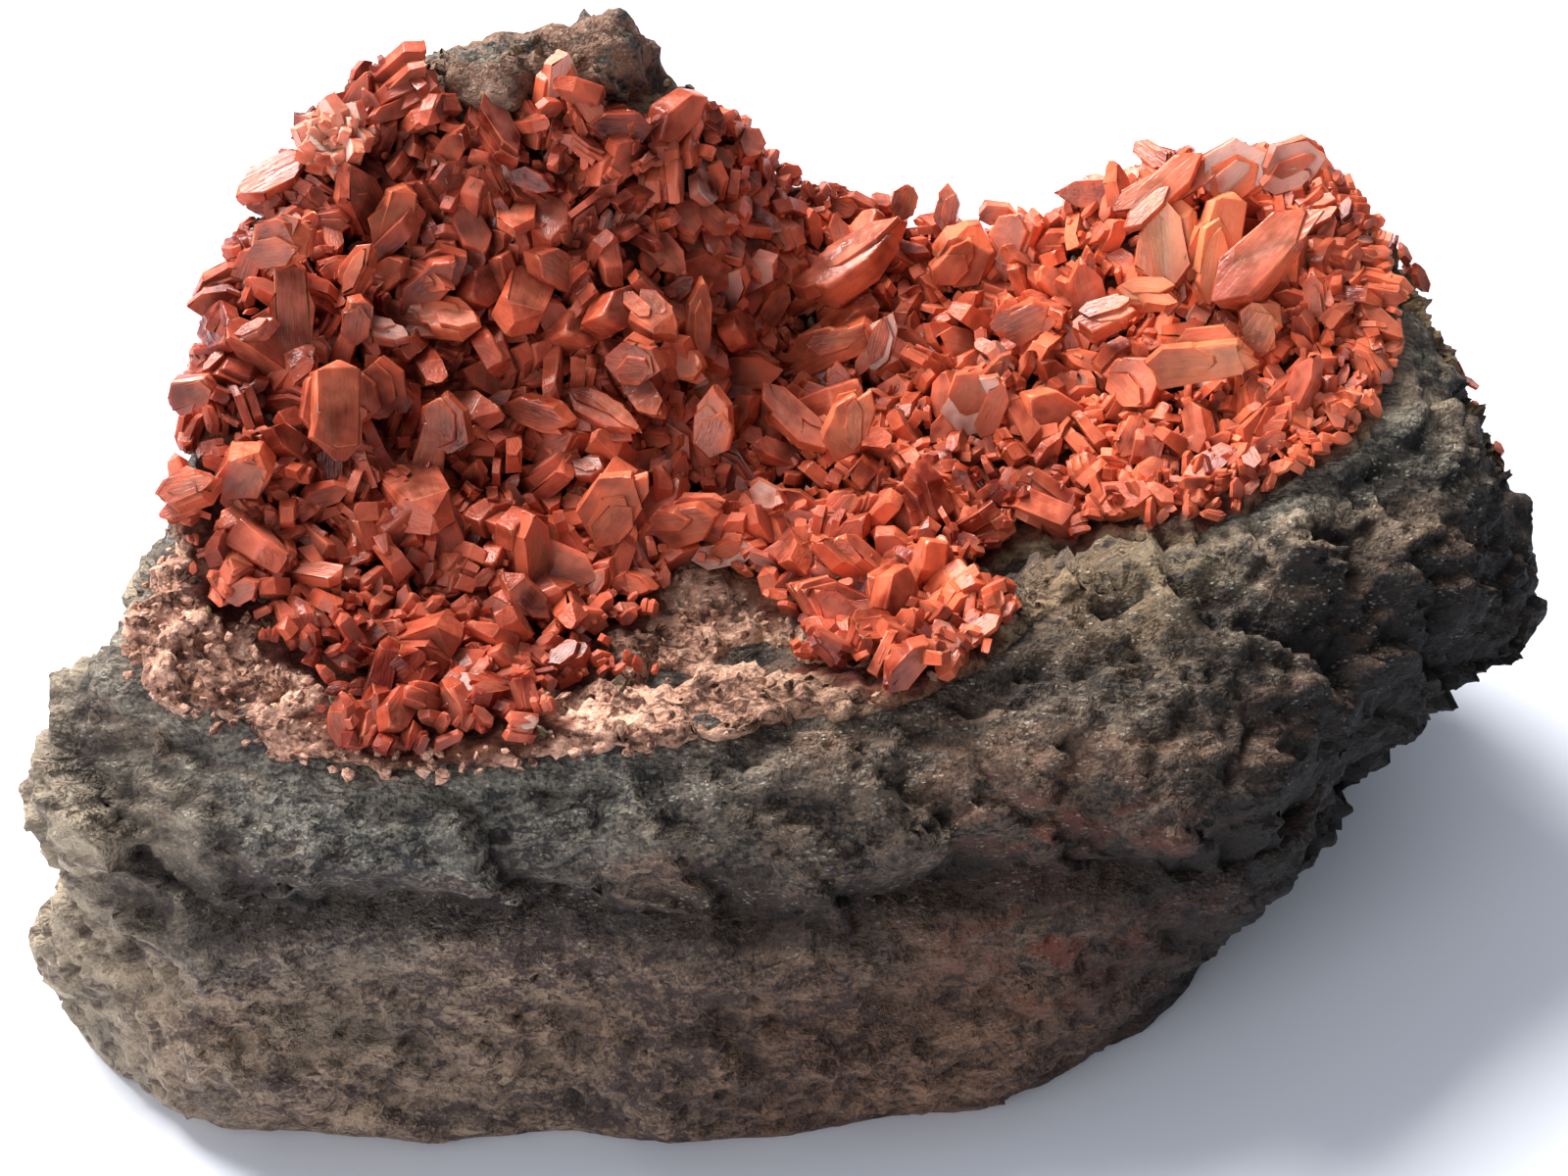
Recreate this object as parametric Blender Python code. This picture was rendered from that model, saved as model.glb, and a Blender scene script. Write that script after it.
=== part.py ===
"""Red heulandite on a block of basalt: a hand-sized cabinet specimen.

Four solids that grew on one another: the broken basalt block, the crumbly clay-and-zeolite lining of its
hollow, the crust of coffin-shaped heulandite crystals on that lining, and a small patch of crust on the
outer wall. Metres, +Z up, +X to the right of someone facing the hollow's open front, +Y to the back.
"""

import math
import random

import bmesh
import bpy
import numpy as np
from mathutils import Matrix, Vector, noise
from mathutils.bvhtree import BVHTree

MM = 0.001

# ---------------------------------------------------------------------------------------------------
# Driving sizes, in millimetres
# ---------------------------------------------------------------------------------------------------

# The block is measured along eighteen profiles that fan out from the bottom of the hollow. Each row below
# is one level of the stone, as (x, y, z), and runs anticlockwise from the right: right, back right, right
# peak, saddle, left peak, left, front left, front, front right.
BASE = [
    (33, -3, 0), (40, 12, 0), (38, 24, 0), (27, 31, 0), (14, 34, 0), (1, 35, 0),
    (-12, 34, 0), (-23, 31, 0), (-34, 26, 0), (-42, 16, 0), (-49, 3, 0), (-52, -9, 0),
    (-53, -18.5, 0), (-40, -27.5, 0), (-16, -28, 0), (8, -27, 0), (24, -21, 0), (31, -14, 0),
]
WAIST = [
    (45, 3, 13), (51, 17, 15), (46, 30, 16), (33, 38, 16), (18, 41, 14), (3, 41, 14),
    (-12, 40, 16), (-24, 37, 18), (-36, 30, 18), (-44, 18, 18), (-50, 4, 17), (-53, -9, 15),
    (-54, -20, 12), (-40, -29, 10), (-16, -30, 10), (9, -29, 10), (28, -22, 11), (37, -11, 10),
]
SHOULDER = [
    (58, 4, 22), (53, 18, 29), (46, 30, 31), (35, 38, 33), (19, 41, 27), (4, 41, 28),
    (-9, 40, 34), (-21, 36, 44), (-34, 29, 41), (-42, 17, 37), (-44, 4, 35), (-46, -9, 33),
    (-49, -20, 29), (-37, -27, 22), (-15, -27, 21), (10, -26, 22), (33, -18, 25), (44, -9, 23),
]
RIM = [
    (46, 7, 38), (46, 20, 41.5), (42, 29.5, 46), (32, 33, 44), (20, 34, 35.5), (8, 34, 37.5),
    (-4, 33, 46), (-12, 28, 58.5), (-31, 25, 56), (-37.5, 13, 48), (-39.5, 3, 43), (-40.5, -7, 38),
    (-42, -15, 35), (-28, -20, 30), (-11, -19, 31), (8, -16, 31), (25, -9, 33), (36, -2, 36),
]
SLOPE = [
    (28, 8, 33), (31, 15, 34), (30, 21, 35), (22, 24, 35), (13, 25, 32), (4, 25, 31),
    (-4, 24, 34), (-12, 20, 46), (-22, 18, 44), (-29, 10, 40), (-31, 3, 37), (-32, -4, 34),
    (-31, -10, 32), (-22, -13, 29), (-10, -11, 27), (3, -9, 28), (14, -3, 29), (23, 3, 31),
]
FLOOR = [
    (9, 8, 30), (11, 11, 30), (11, 14, 31), (8, 16, 31), (3, 16, 30), (-1, 16, 29),
    (-6, 15, 30), (-11, 13, 35), (-16, 11, 36), (-18, 9, 34), (-20, 4, 32), (-20, 0, 31),
    (-20, -4, 29), (-15, -6, 28), (-8, -5, 27), (-2, -4, 27), (4, 0, 28), (8, 4, 29),
]
HOLLOW_BOTTOM = (-6, 7, 28)

# Outlines of the two layers in the hollow. Each pair is a place along the eighteen profiles and how far the
# layer reaches there, as a share of the way from the hollow's bottom (0) to the rim (1). Over 1 it turns
# down over the rim. The crust stops short at the front, where a wedge of bare lining shows.
CRUST_EDGE = [
    (0.0, 0.92), (1.0, 0.97), (2.0, 0.98), (3.0, 1.00), (4.0, 1.02), (5.0, 1.02), (6.0, 0.98),
    (6.6, 0.90), (7.5, 0.87), (8.0, 1.00), (9.0, 1.05), (10.0, 1.06), (11.0, 1.03), (11.7, 0.99),
    (12.1, 0.88), (12.7, 0.93), (13.1, 0.98), (13.7, 0.98), (13.9, 0.50), (14.3, 0.24), (14.7, 0.50),
    (14.9, 0.96), (15.3, 0.94), (15.6, 0.86), (16.0, 0.74), (16.4, 0.88), (17.0, 0.90),
]
LINING_EDGE = [
    (0.0, 0.97), (1.0, 1.02), (2.0, 1.02), (3.0, 1.04), (4.0, 1.06), (5.0, 1.06), (6.0, 1.02),
    (7.0, 0.92), (8.0, 1.06), (9.0, 1.09), (10.0, 1.10), (11.0, 1.08), (12.0, 1.08), (13.0, 1.05),
    (14.0, 1.06), (14.6, 1.02), (15.0, 0.99), (16.0, 0.90), (17.0, 0.93),
]

GAP = 0.35                # clearance that separates one solid from the next
CRUST_GAP = 0.60          # the same between the lining and the crust
LINING_THICKNESS = 1.1
SIDE_THICKNESS = 1.4
CRUST_THICKNESS = 2.5     # the grown-together foot of the crystals, without their tips
CRUST_ROUGH = 2.6         # how far its top goes up and down from facet to facet
ROUGH_SIZE = 2.7
ROUGH_FROM = 30.0         # less than that within this distance of the hollow's bottom
COLUMNS = 54              # facets around the stone
WALL_STEPS = 3            # rows of facets from one level of the walls to the next
HOLLOW_LEVELS = (3.33, 3.67, 4.0, 4.5, 5.0, 5.5)

LUMP_SIZE = 13.0          # the broken walls bulge in lumps of about this size
LUMP_DEPTH = 3.2
CHUNK_SIZE = 17.0         # they broke along chunks of this size, some of which stand out further
CHUNK_DEPTH = 1.2
CREVICE_DEPTH = 1.3       # and are deeper between two chunks
LEDGE_HEIGHT = 15.0       # the front wall is cut back around this height, which leaves a ledge above
LEDGE_DEPTH = 1.6
LEDGE_SPREAD = 3.0
# single bosses and pits of the stone: x, y, z, radius, height
KNOBS = [
    (-21, 26, 56, 4, 2.0), (-12, 28, 60, 4, 2.0), (20, -7, 33, 4, 1.8), (50, -1, 30, 8, 2.0),
    (38, -11, 17, 6, -2.5), (45, -5, 13, 4, 3.0), (40, -9, 5, 4, 2.5), (-36, -28, 20, 6, 1.8),
    (-52, -18, 27, 6, 1.5), (5, 42, 16, 10, 3.0), (-30, 38, 26, 9, -3.0), (54, 26, 22, 8, 2.5),
]

# crystals of the crust that are placed by hand: station, level, turn, tilt, roll (degrees), then length,
# width and thickness. The first six are the blades and cleaved slabs of the right peak.
LARGE_CRYSTALS = [
    (1.60, 3.50, 35, 22, 10, 12.0, 4.6, 4.2), (2.70, 3.45, 80, 48, 20, 8.5, 4.2, 3.2),
    (2.45, 3.60, 60, 40, -25, 8.0, 4.0, 3.0), (2.45, 3.22, 10, 12, 0, 7.5, 5.0, 2.2),
    (2.05, 3.20, -30, 14, 15, 6.5, 4.6, 2.0), (2.90, 3.25, 50, 25, 0, 6.0, 4.0, 2.2),
    (5.25, 3.45, 30, 20, -30, 7.5, 4.0, 3.4), (4.15, 4.36, 60, 15, 10, 5.5, 3.8, 2.2),
    (1.80, 4.81, 20, 12, 20, 5.5, 3.8, 2.4), (9.95, 3.55, 70, 55, 40, 6.5, 5.0, 4.4),
    (8.35, 3.05, 0, 30, 0, 7.0, 5.0, 4.0), (7.45, 4.54, 75, 60, 20, 7.5, 3.4, 2.6),
    (13.40, 3.35, 20, 35, 15, 7.0, 4.0, 3.2), (15.10, 3.40, -20, 40, 0, 6.5, 3.8, 3.0),
]
SMALL_CRYSTALS = 84
CRYSTAL_LENGTH = (4.8, 8.0)
CRYSTAL_WIDTH = 0.54      # of the length
CRYSTAL_THICKNESS = 0.40  # of the length
CRYSTAL_SPACING = 5.2
CRYSTAL_OUTLINE = [(-0.5, 0.0), (-0.22, 0.42), (0.16, 0.5), (0.5, 0.0), (0.16, -0.5), (-0.22, -0.42)]
CRYSTAL_RISE = 0.22       # how far a crystal that stands on end is lifted, as a share of its length
CRYSTAL_ROOT = 0.5        # least height of a crystal's corners over the crust's foot
CRYSTAL_TIP = 0.55        # thickness of the wedge ends, as a share of the middle's
SEED = 11

# the patch on the outer wall covers the facets around this column and ring
SIDE_MIDDLE = (4.2, 7.1)
SIDE_HALF = (2.3, 1.25)

LEVELS = ("base", "waist", "shoulder", "rim", "slope", "floor", "bottom")
RIM_LEVEL = LEVELS.index("rim")
BOTTOM_LEVEL = LEVELS.index("bottom")


# ---------------------------------------------------------------------------------------------------
# The stone's surface as a function of two numbers
# ---------------------------------------------------------------------------------------------------

def spline(before, start, end, after, share):
    """The point a share of the way from start to end on a Catmull-Rom curve."""
    return 0.5 * (
        2 * start
        + (end - before) * share
        + (2 * before - 5 * start + 4 * end - after) * share**2
        + (3 * start - before - 3 * end + after) * share**3
    )


def around(row, station):
    """A closed row of points read at fractional stations."""
    row = np.asarray(row, float)
    count = len(row)
    whole = np.floor(station).astype(int)
    share = (station - whole)[..., None]
    near = [row[(whole + step) % count] for step in (-1, 0, 1, 2)]
    return spline(*near, share)


def surface(station, level):
    """Points of the smooth stone at these stations (0 to 18) and levels (0 at the base to 6)."""
    station, level = np.broadcast_arrays(np.asarray(station, float), np.asarray(level, float))
    rows = [around(row, station) for row in (BASE, WAIST, SHOULDER, RIM, SLOPE, FLOOR)]
    across = around(FLOOR, station + len(FLOOR) / 2)
    bottom = np.broadcast_to(np.array(HOLLOW_BOTTOM, float), rows[0].shape)
    stack = np.stack([2 * rows[0] - rows[1], *rows, bottom, across])
    whole = np.clip(np.floor(level).astype(int), 0, BOTTOM_LEVEL - 1)
    share = (level - whole)[..., None]
    near = [np.take_along_axis(stack, (whole + step)[None, ..., None], 0)[0] for step in range(4)]
    return spline(*near, share)


def normals(station, level):
    """Outward unit normals of the smooth stone."""
    step = 0.02
    level = np.clip(level, step, BOTTOM_LEVEL - 2 * step)
    along = surface(station, level + step) - surface(station, level - step)
    turn = surface(station + step, level) - surface(station - step, level)
    found = np.cross(turn, along)
    return found / np.linalg.norm(found, axis=-1, keepdims=True)


def edge_level(outline, station):
    """The level at which a layer with this outline ends."""
    places, reaches = zip(*outline)
    reach = np.interp(station, places, reaches, period=len(BASE))
    return BOTTOM_LEVEL - reach * (BOTTOM_LEVEL - RIM_LEVEL)


# ---------------------------------------------------------------------------------------------------
# Meshes
# ---------------------------------------------------------------------------------------------------

def new_object(name, points, faces, material=None):
    """A mesh object from points in millimetres, with points that coincide merged."""
    mesh = bpy.data.meshes.new(name)
    mesh.from_pydata([Vector(point) * MM for point in points], [], faces)
    shape = bmesh.new()
    shape.from_mesh(mesh)
    bmesh.ops.remove_doubles(shape, verts=shape.verts, dist=0.05 * MM)
    bmesh.ops.dissolve_degenerate(shape, dist=0.05 * MM, edges=shape.edges)
    shape.to_mesh(mesh)
    shape.free()
    built = bpy.data.objects.new(name, mesh)
    bpy.context.scene.collection.objects.link(built)
    if material:
        mesh.materials.append(material)
    return built


def ring_facets(rings, columns):
    """Triangles between consecutive rings of points, each ring counted from the first of its points."""
    facets = []
    for ring in range(rings - 1):
        for column in range(columns):
            beside = (column + 1) % columns
            low, high = ring * columns, (ring + 1) * columns
            facets.append((low + column, low + beside, high + beside))
            facets.append((low + column, high + beside, high + column))
    return facets


def closed_layer(name, ground, normal, facets, low, high, finish):
    """A closed layer over these outward facets: from height low to each point's height high above it."""
    count = len(ground)
    points = [*(ground + normal * high[:, None]), *(ground + normal * low)]
    faces = [*facets, *((c + count, b + count, a + count) for a, b, c in facets)]
    sides = {side for a, b, c in facets for side in ((a, b), (b, c), (c, a))}
    for a, b in sorted(sides):
        if (b, a) not in sides:
            faces.append((b, a, a + count, b + count))
    return new_object(name, points, faces, finish)


def material(name, colour, roughness, subsurface=0.0):
    made = bpy.data.materials.new(name)
    made.use_nodes = True
    shader = made.node_tree.nodes["Principled BSDF"]
    shader.inputs["Base Color"].default_value = (*colour, 1.0)
    shader.inputs["Roughness"].default_value = roughness
    shader.inputs["Metallic"].default_value = 0.0
    shader.inputs["Subsurface Weight"].default_value = subsurface
    return made


def broken(point, normal):
    """How far the broken wall stands out at this point: lumps, chunks and the cut under the ledge."""
    place = Vector(point)
    lump = noise.fractal(place / LUMP_SIZE, 0.9, 2.1, 3)
    distances, centres = noise.voronoi(place / CHUNK_SIZE)
    chunk = noise.cell(centres[0] * 9.7)
    crevice = math.exp(-(((distances[1] - distances[0]) / 0.12) ** 2))
    cut = LEDGE_DEPTH * max(-normal[1], 0.0) * math.exp(-(((place.z - LEDGE_HEIGHT) / LEDGE_SPREAD) ** 2))
    return normal * (LUMP_DEPTH * lump + CHUNK_DEPTH * chunk - CREVICE_DEPTH * crevice - cut)


def knobs(point, normal):
    """How far the bosses and pits move this point."""
    total = 0.0
    for x, y, z, radius, height in KNOBS:
        distance = (Vector(point) - Vector((x, y, z))).length
        total += height * math.exp(-((distance / radius) ** 2))
    return normal * total


STATIONS = np.arange(COLUMNS) * len(BASE) / COLUMNS
WALL_LEVELS = tuple(np.arange(RIM_LEVEL * WALL_STEPS + 1) / WALL_STEPS)
STONE_LEVELS = WALL_LEVELS + HOLLOW_LEVELS


def unit(vectors):
    return vectors / np.linalg.norm(vectors, axis=-1, keepdims=True)


def stone_rings():
    """The stone's rings of points and outward normals: (ring, column, 3) each. The walls are broken."""
    rings, outward = [], []
    inner_edge = edge_level(LINING_EDGE, STATIONS)
    for level in STONE_LEVELS:
        ring = surface(STATIONS, level)
        normal = normals(STATIONS, np.full(COLUMNS, level))
        bare = np.clip(inner_edge - 0.25 - level, 0.0, 1.0) * min(0.3 + level, 1.0)
        rough = [broken(p, n) * b + knobs(p, n) for p, n, b in zip(ring, normal, bare)]
        ring = ring + rough
        if level == 0:
            ring[:, 2] = 0.0
        rings.append(ring)
        outward.append(normal)
    rings, outward = np.array(rings), np.array(outward)
    # towards the bottom of the hollow the normals turn to one shared direction, so that thick layers
    # don't fold over themselves there
    middle = unit(outward[-1].mean(axis=0))
    share = np.clip((np.array(STONE_LEVELS) - 3.8) / 1.7, 0.0, 1.0)[:, None, None]
    return rings, unit(outward * (1 - share) + middle * share)


def basalt_block(rings, stone):
    """The block: rings from its base up over the rim to the bottom of the hollow."""
    points = [*rings.reshape(-1, 3), HOLLOW_BOTTOM]
    pole = len(points) - 1
    last = pole - COLUMNS
    faces = ring_facets(len(rings), COLUMNS)
    faces += [(last + i, last + (i + 1) % COLUMNS, pole) for i in range(COLUMNS)]
    faces.append(tuple(reversed(range(COLUMNS))))
    return new_object("basalt_matrix", points, faces, stone)


def on_facets(rings, levels):
    """Points on the stone's own facets, one for each column, at these levels."""
    high = np.clip(np.searchsorted(STONE_LEVELS, levels), 1, len(STONE_LEVELS) - 1)
    below, above = np.array(STONE_LEVELS)[high - 1], np.array(STONE_LEVELS)[high]
    share = ((levels - below) / (above - below))[:, None]
    columns = np.arange(COLUMNS)
    return rings[high - 1, columns] * (1 - share) + rings[high, columns] * share


def hollow_ground(rings, outward, outline):
    """The stone's facets inside this outline: points, normals, how thin the layer is there, and facets."""
    edge = edge_level(outline, STATIONS)
    ground, normal, thin = [], [], []
    for level in [level for level in STONE_LEVELS if level > edge.min() - 0.4]:
        levels = np.maximum(level, edge)
        ground.append(on_facets(rings, levels))
        normal.append(unit(on_facets(outward, levels)))
        thin.append(1.0 - 0.45 * ((BOTTOM_LEVEL - levels) / (BOTTOM_LEVEL - edge)) ** 6)
    count = len(ground)
    pole, last = count * COLUMNS, (count - 1) * COLUMNS
    facets = ring_facets(count, COLUMNS)
    facets += [(last + i, last + (i + 1) % COLUMNS, pole) for i in range(COLUMNS)]
    ground = np.concatenate([*ground, [HOLLOW_BOTTOM]])
    normal = np.concatenate([*normal, [unit(outward[-1].mean(axis=0))]])
    return ground, normal, np.concatenate([*thin, [1.0]]), facets


def hollow_layer(name, hollow, low, high, finish, rough=0.0):
    """A layer in the hollow from height low to height high over the stone, thinner at its edge."""
    ground, normal, thin, facets = hollow
    spread = np.clip(np.linalg.norm(ground - ground[-1], axis=1) / ROUGH_FROM, 0.0, 1.0)
    bump = np.array([noise.noise(Vector(point) / ROUGH_SIZE) for point in ground])
    height = low + (high - low + bump * spread * rough) * thin
    return closed_layer(name, ground, normal, facets, low, height, finish)


def side_layer(name, rings, outward, high, finish):
    """The patch of crust on the outer wall behind the right peak."""
    facets = []
    for facet in ring_facets(len(rings), COLUMNS):
        column = sum(point % COLUMNS for point in facet) / 3 - SIDE_MIDDLE[0]
        ring = sum(point // COLUMNS for point in facet) / 3 - SIDE_MIDDLE[1]
        if math.hypot(column / SIDE_HALF[0], ring / SIDE_HALF[1]) < 1:
            facets.append(facet)
    used = sorted({point for facet in facets for point in facet})
    facets = [tuple(used.index(point) for point in facet) for facet in facets]
    ground, normal = rings.reshape(-1, 3)[used], outward.reshape(-1, 3)[used]
    chance = random.Random(SEED)
    top = np.array([high * chance.uniform(0.7, 1.3) for _ in used])
    return closed_layer(name, ground, normal, facets, GAP, top, finish)


# ---------------------------------------------------------------------------------------------------
# Crystals
# ---------------------------------------------------------------------------------------------------

def crystal_points(length, width, thickness):
    """Corners of one coffin-shaped crystal: its long axis on x, its broad faces up and down."""
    corners = []
    for x, y in CRYSTAL_OUTLINE:
        half = thickness / 2 * (CRYSTAL_TIP if y == 0 else 1.0)
        corners += [Vector((x * length, y * width, half)), Vector((x * length, y * width, -half))]
    return corners


def crystal_corners(place, floor, foot):
    """The corners of a crystal that stands in the crust, none of them deeper than the crust's foot."""
    station, level, turn, tilt, roll, length, width, thickness = place
    turn, tilt, roll = (math.radians(angle) for angle in (turn, tilt, roll))
    ground = Vector(surface(station, level))
    up = Vector(normals(station, level))
    aside = Vector((1, 0, 0)) - up * up.x
    aside.normalize()
    stand = Matrix((aside, up.cross(aside), up)).transposed()
    pose = Matrix.Rotation(turn, 3, "Z") @ Matrix.Rotation(-tilt, 3, "Y") @ Matrix.Rotation(roll, 3, "X")
    lift = foot + CRUST_THICKNESS * 0.6 + CRYSTAL_RISE * length * math.sin(tilt)
    corners = []
    for corner in crystal_points(length, width, thickness):
        corner = ground + up * lift + stand @ pose @ corner
        nearest, out, _, _ = floor.find_nearest(corner)
        depth = CRYSTAL_ROOT - (corner - nearest).dot(out)
        corners.append(corner + out * max(depth, 0.0))
    return corners


def crystal_places(outline):
    """Where the small crystals stand: seeded random places in the outline, kept apart."""
    chance = random.Random(SEED)
    places, grounds = [], []
    for _ in range(6000):
        station = chance.uniform(0, len(BASE))
        edge = float(edge_level(outline, station))
        level = BOTTOM_LEVEL - math.sqrt(chance.random()) * (BOTTOM_LEVEL - edge) * 0.95
        ground = surface(station, level)
        if all(np.linalg.norm(ground - other) > CRYSTAL_SPACING for other in grounds):
            grounds.append(ground)
            length = chance.uniform(*CRYSTAL_LENGTH)
            angles = chance.uniform(0, 360), chance.uniform(12, 65), chance.uniform(-50, 50)
            size = length, length * CRYSTAL_WIDTH, length * CRYSTAL_THICKNESS
            places.append((station, level, *angles, *size))
        if len(places) == SMALL_CRYSTALS:
            break
    return places


def keep_outer_skin(mesh):
    """Drops the small sealed pockets that a union leaves between crystals."""
    shape = bmesh.new()
    shape.from_mesh(mesh)
    skins, left = [], set(shape.faces)
    while left:
        skin, reached = set(), [next(iter(left))]
        while reached:
            face = reached.pop()
            if face not in skin:
                skin.add(face)
                for edge in face.edges:
                    if len(edge.link_faces) == 2:
                        reached += edge.link_faces
        skins.append(skin)
        left -= skin
    skins.sort(key=len)
    pockets = [face for skin in skins[:-1] for face in skin]
    bmesh.ops.delete(shape, geom=pockets, context="FACES")
    shape.to_mesh(mesh)
    shape.free()


def grow_crystals(crust, places, floor, foot):
    """Joins crystals to the crust as one body."""
    shape = bmesh.new()
    for place in places:
        corners = [shape.verts.new(corner * MM) for corner in crystal_corners(place, floor, foot)]
        bmesh.ops.convex_hull(shape, input=corners)
    loose = [vert for vert in shape.verts if not vert.link_faces]
    bmesh.ops.delete(shape, geom=loose, context="VERTS")
    bmesh.ops.recalc_face_normals(shape, faces=shape.faces)
    mesh = bpy.data.meshes.new("crystals")
    shape.to_mesh(mesh)
    shape.free()
    crystals = bpy.data.objects.new("crystals", mesh)
    bpy.context.scene.collection.objects.link(crystals)
    join = crust.modifiers.new("crystals", "BOOLEAN")
    join.operation = "UNION"
    join.solver = "EXACT"
    join.use_self = True
    join.object = crystals
    bpy.context.view_layer.objects.active = crust
    bpy.ops.object.modifier_apply(modifier=join.name)
    bpy.data.objects.remove(crystals)
    keep_outer_skin(crust.data)


# ---------------------------------------------------------------------------------------------------
# The scene
# ---------------------------------------------------------------------------------------------------

def clear_scene():
    for old in list(bpy.data.objects):
        bpy.data.objects.remove(old)


def main():
    clear_scene()
    stone = material("basalt", (0.16, 0.14, 0.125), 0.85)
    clay = material("lining_clay", (0.42, 0.29, 0.22), 0.95)
    crystal = material("heulandite", (0.62, 0.17, 0.10), 0.35, subsurface=0.3)
    rings, outward = stone_rings()
    basalt_block(rings, stone)
    lining_top = GAP + LINING_THICKNESS
    hollow_layer("cavity_lining", hollow_ground(rings, outward, LINING_EDGE), GAP, lining_top, clay)
    foot = lining_top + CRUST_GAP
    hollow = hollow_ground(rings, outward, CRUST_EDGE)
    crust = hollow_layer("heulandite_crust", hollow, foot, foot + CRUST_THICKNESS, crystal, CRUST_ROUGH)
    floor = BVHTree.FromPolygons([Vector(p) for p in hollow[0] + hollow[1] * foot], hollow[3])
    grow_crystals(crust, LARGE_CRYSTALS + crystal_places(CRUST_EDGE), floor, foot)
    side_layer("side_crust", rings, outward, SIDE_THICKNESS, crystal)


main()
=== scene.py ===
# %% [markdown]
# # Red heulandite on a block of basalt
# A broken block of dark basalt carries a hollow. Clay and fine zeolite line the hollow, and a crust of
# brick-red heulandite crystals grew on that lining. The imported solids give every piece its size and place.
# Here each one gets its looks: the stone its broken grain, the lining its crumbs, and the crust its many
# hundreds of coffin-shaped crystals.

import math
import random

import bpy
import numpy as np
from mathutils import Matrix, Vector, noise
from mathutils.bvhtree import BVHTree
from mathutils.kdtree import KDTree


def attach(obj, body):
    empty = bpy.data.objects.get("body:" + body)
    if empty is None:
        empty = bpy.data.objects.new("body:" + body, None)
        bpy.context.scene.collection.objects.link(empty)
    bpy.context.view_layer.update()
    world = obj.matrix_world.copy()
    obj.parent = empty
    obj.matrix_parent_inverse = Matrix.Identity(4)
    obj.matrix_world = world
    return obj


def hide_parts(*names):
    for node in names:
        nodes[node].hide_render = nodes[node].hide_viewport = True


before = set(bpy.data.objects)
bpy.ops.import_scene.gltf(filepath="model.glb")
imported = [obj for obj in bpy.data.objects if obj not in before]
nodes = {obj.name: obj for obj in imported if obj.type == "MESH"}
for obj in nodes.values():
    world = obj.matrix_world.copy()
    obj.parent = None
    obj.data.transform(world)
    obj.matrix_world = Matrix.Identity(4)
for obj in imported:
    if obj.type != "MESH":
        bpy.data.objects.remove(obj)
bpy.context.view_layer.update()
MM = 0.001

# %% [markdown]
# ## Camera, floor and light
# The stone lies on plain white paper by a window: one large soft light from the back left, with the rest of
# the room as a dim, slightly blue fill. A large area light gives the soft shadow in front on the right. A
# second, weaker one in front stands for light that the room's walls send back.

# %% Camera
LENS, SENSOR = 50.0, 36.0
AIM = Vector((0.0, 0.0, 28.0)) * MM
DISTANCE = 160.0 * MM
ELEVATION = math.radians(40)
scene = bpy.context.scene
towards_camera = Vector((0, -math.cos(ELEVATION), math.sin(ELEVATION)))
camera = bpy.data.objects.new("camera", bpy.data.cameras.new("camera"))
scene.collection.objects.link(camera)
camera.data.lens = LENS
camera.data.sensor_width = SENSOR
camera.data.clip_start = 1 * MM
camera.location = AIM + towards_camera * DISTANCE
camera.rotation_euler = (-towards_camera).to_track_quat("-Z", "Y").to_euler()
scene.camera = camera
scene.view_settings.view_transform = "Standard"
print("camera at", [round(v / MM) for v in camera.location], "mm")


# %% Small helpers for selecting, shaping and shading
def alone(piece):
    """Selects one object alone, so that an operator touches nothing else."""
    bpy.ops.object.select_all(action="DESELECT")
    piece.select_set(True)
    bpy.context.view_layer.objects.active = piece


def shape_with(piece, kind, **settings):
    """Adds one modifier with these settings and applies it."""
    modifier = piece.modifiers.new(kind.lower(), kind)
    for name, value in settings.items():
        setattr(modifier, name, value)
    alone(piece)
    bpy.ops.object.modifier_apply(modifier=modifier.name)


def smooth_shading(piece):
    alone(piece)
    bpy.ops.object.shade_smooth()


def copy_of(node, name):
    """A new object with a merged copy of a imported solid's mesh."""
    piece = bpy.data.objects.new(name, nodes[node].data.copy())
    scene.collection.objects.link(piece)
    piece.data.materials.clear()
    alone(piece)
    bpy.ops.object.mode_set(mode="EDIT")
    bpy.ops.mesh.select_all(action="SELECT")
    bpy.ops.mesh.remove_doubles(threshold=0.002 * MM)
    bpy.ops.object.mode_set(mode="OBJECT")
    return piece


def points_of(mesh):
    """The vertices of a mesh as an array of rows."""
    found = np.empty(len(mesh.vertices) * 3)
    mesh.vertices.foreach_get("co", found)
    return found.reshape(-1, 3)


def set_attribute(mesh, name, values, domain="POINT"):
    """Stores one number per vertex or face for the materials to read."""
    attribute = mesh.attributes.new(name, "FLOAT", domain)
    attribute.data.foreach_set("value", np.asarray(values, np.float32))


def tree_of(piece):
    """A tree that answers where the nearest point of a mesh is."""
    mesh = piece.data
    return BVHTree.FromPolygons(points_of(mesh).tolist(), [tuple(face.vertices) for face in mesh.polygons])


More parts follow.
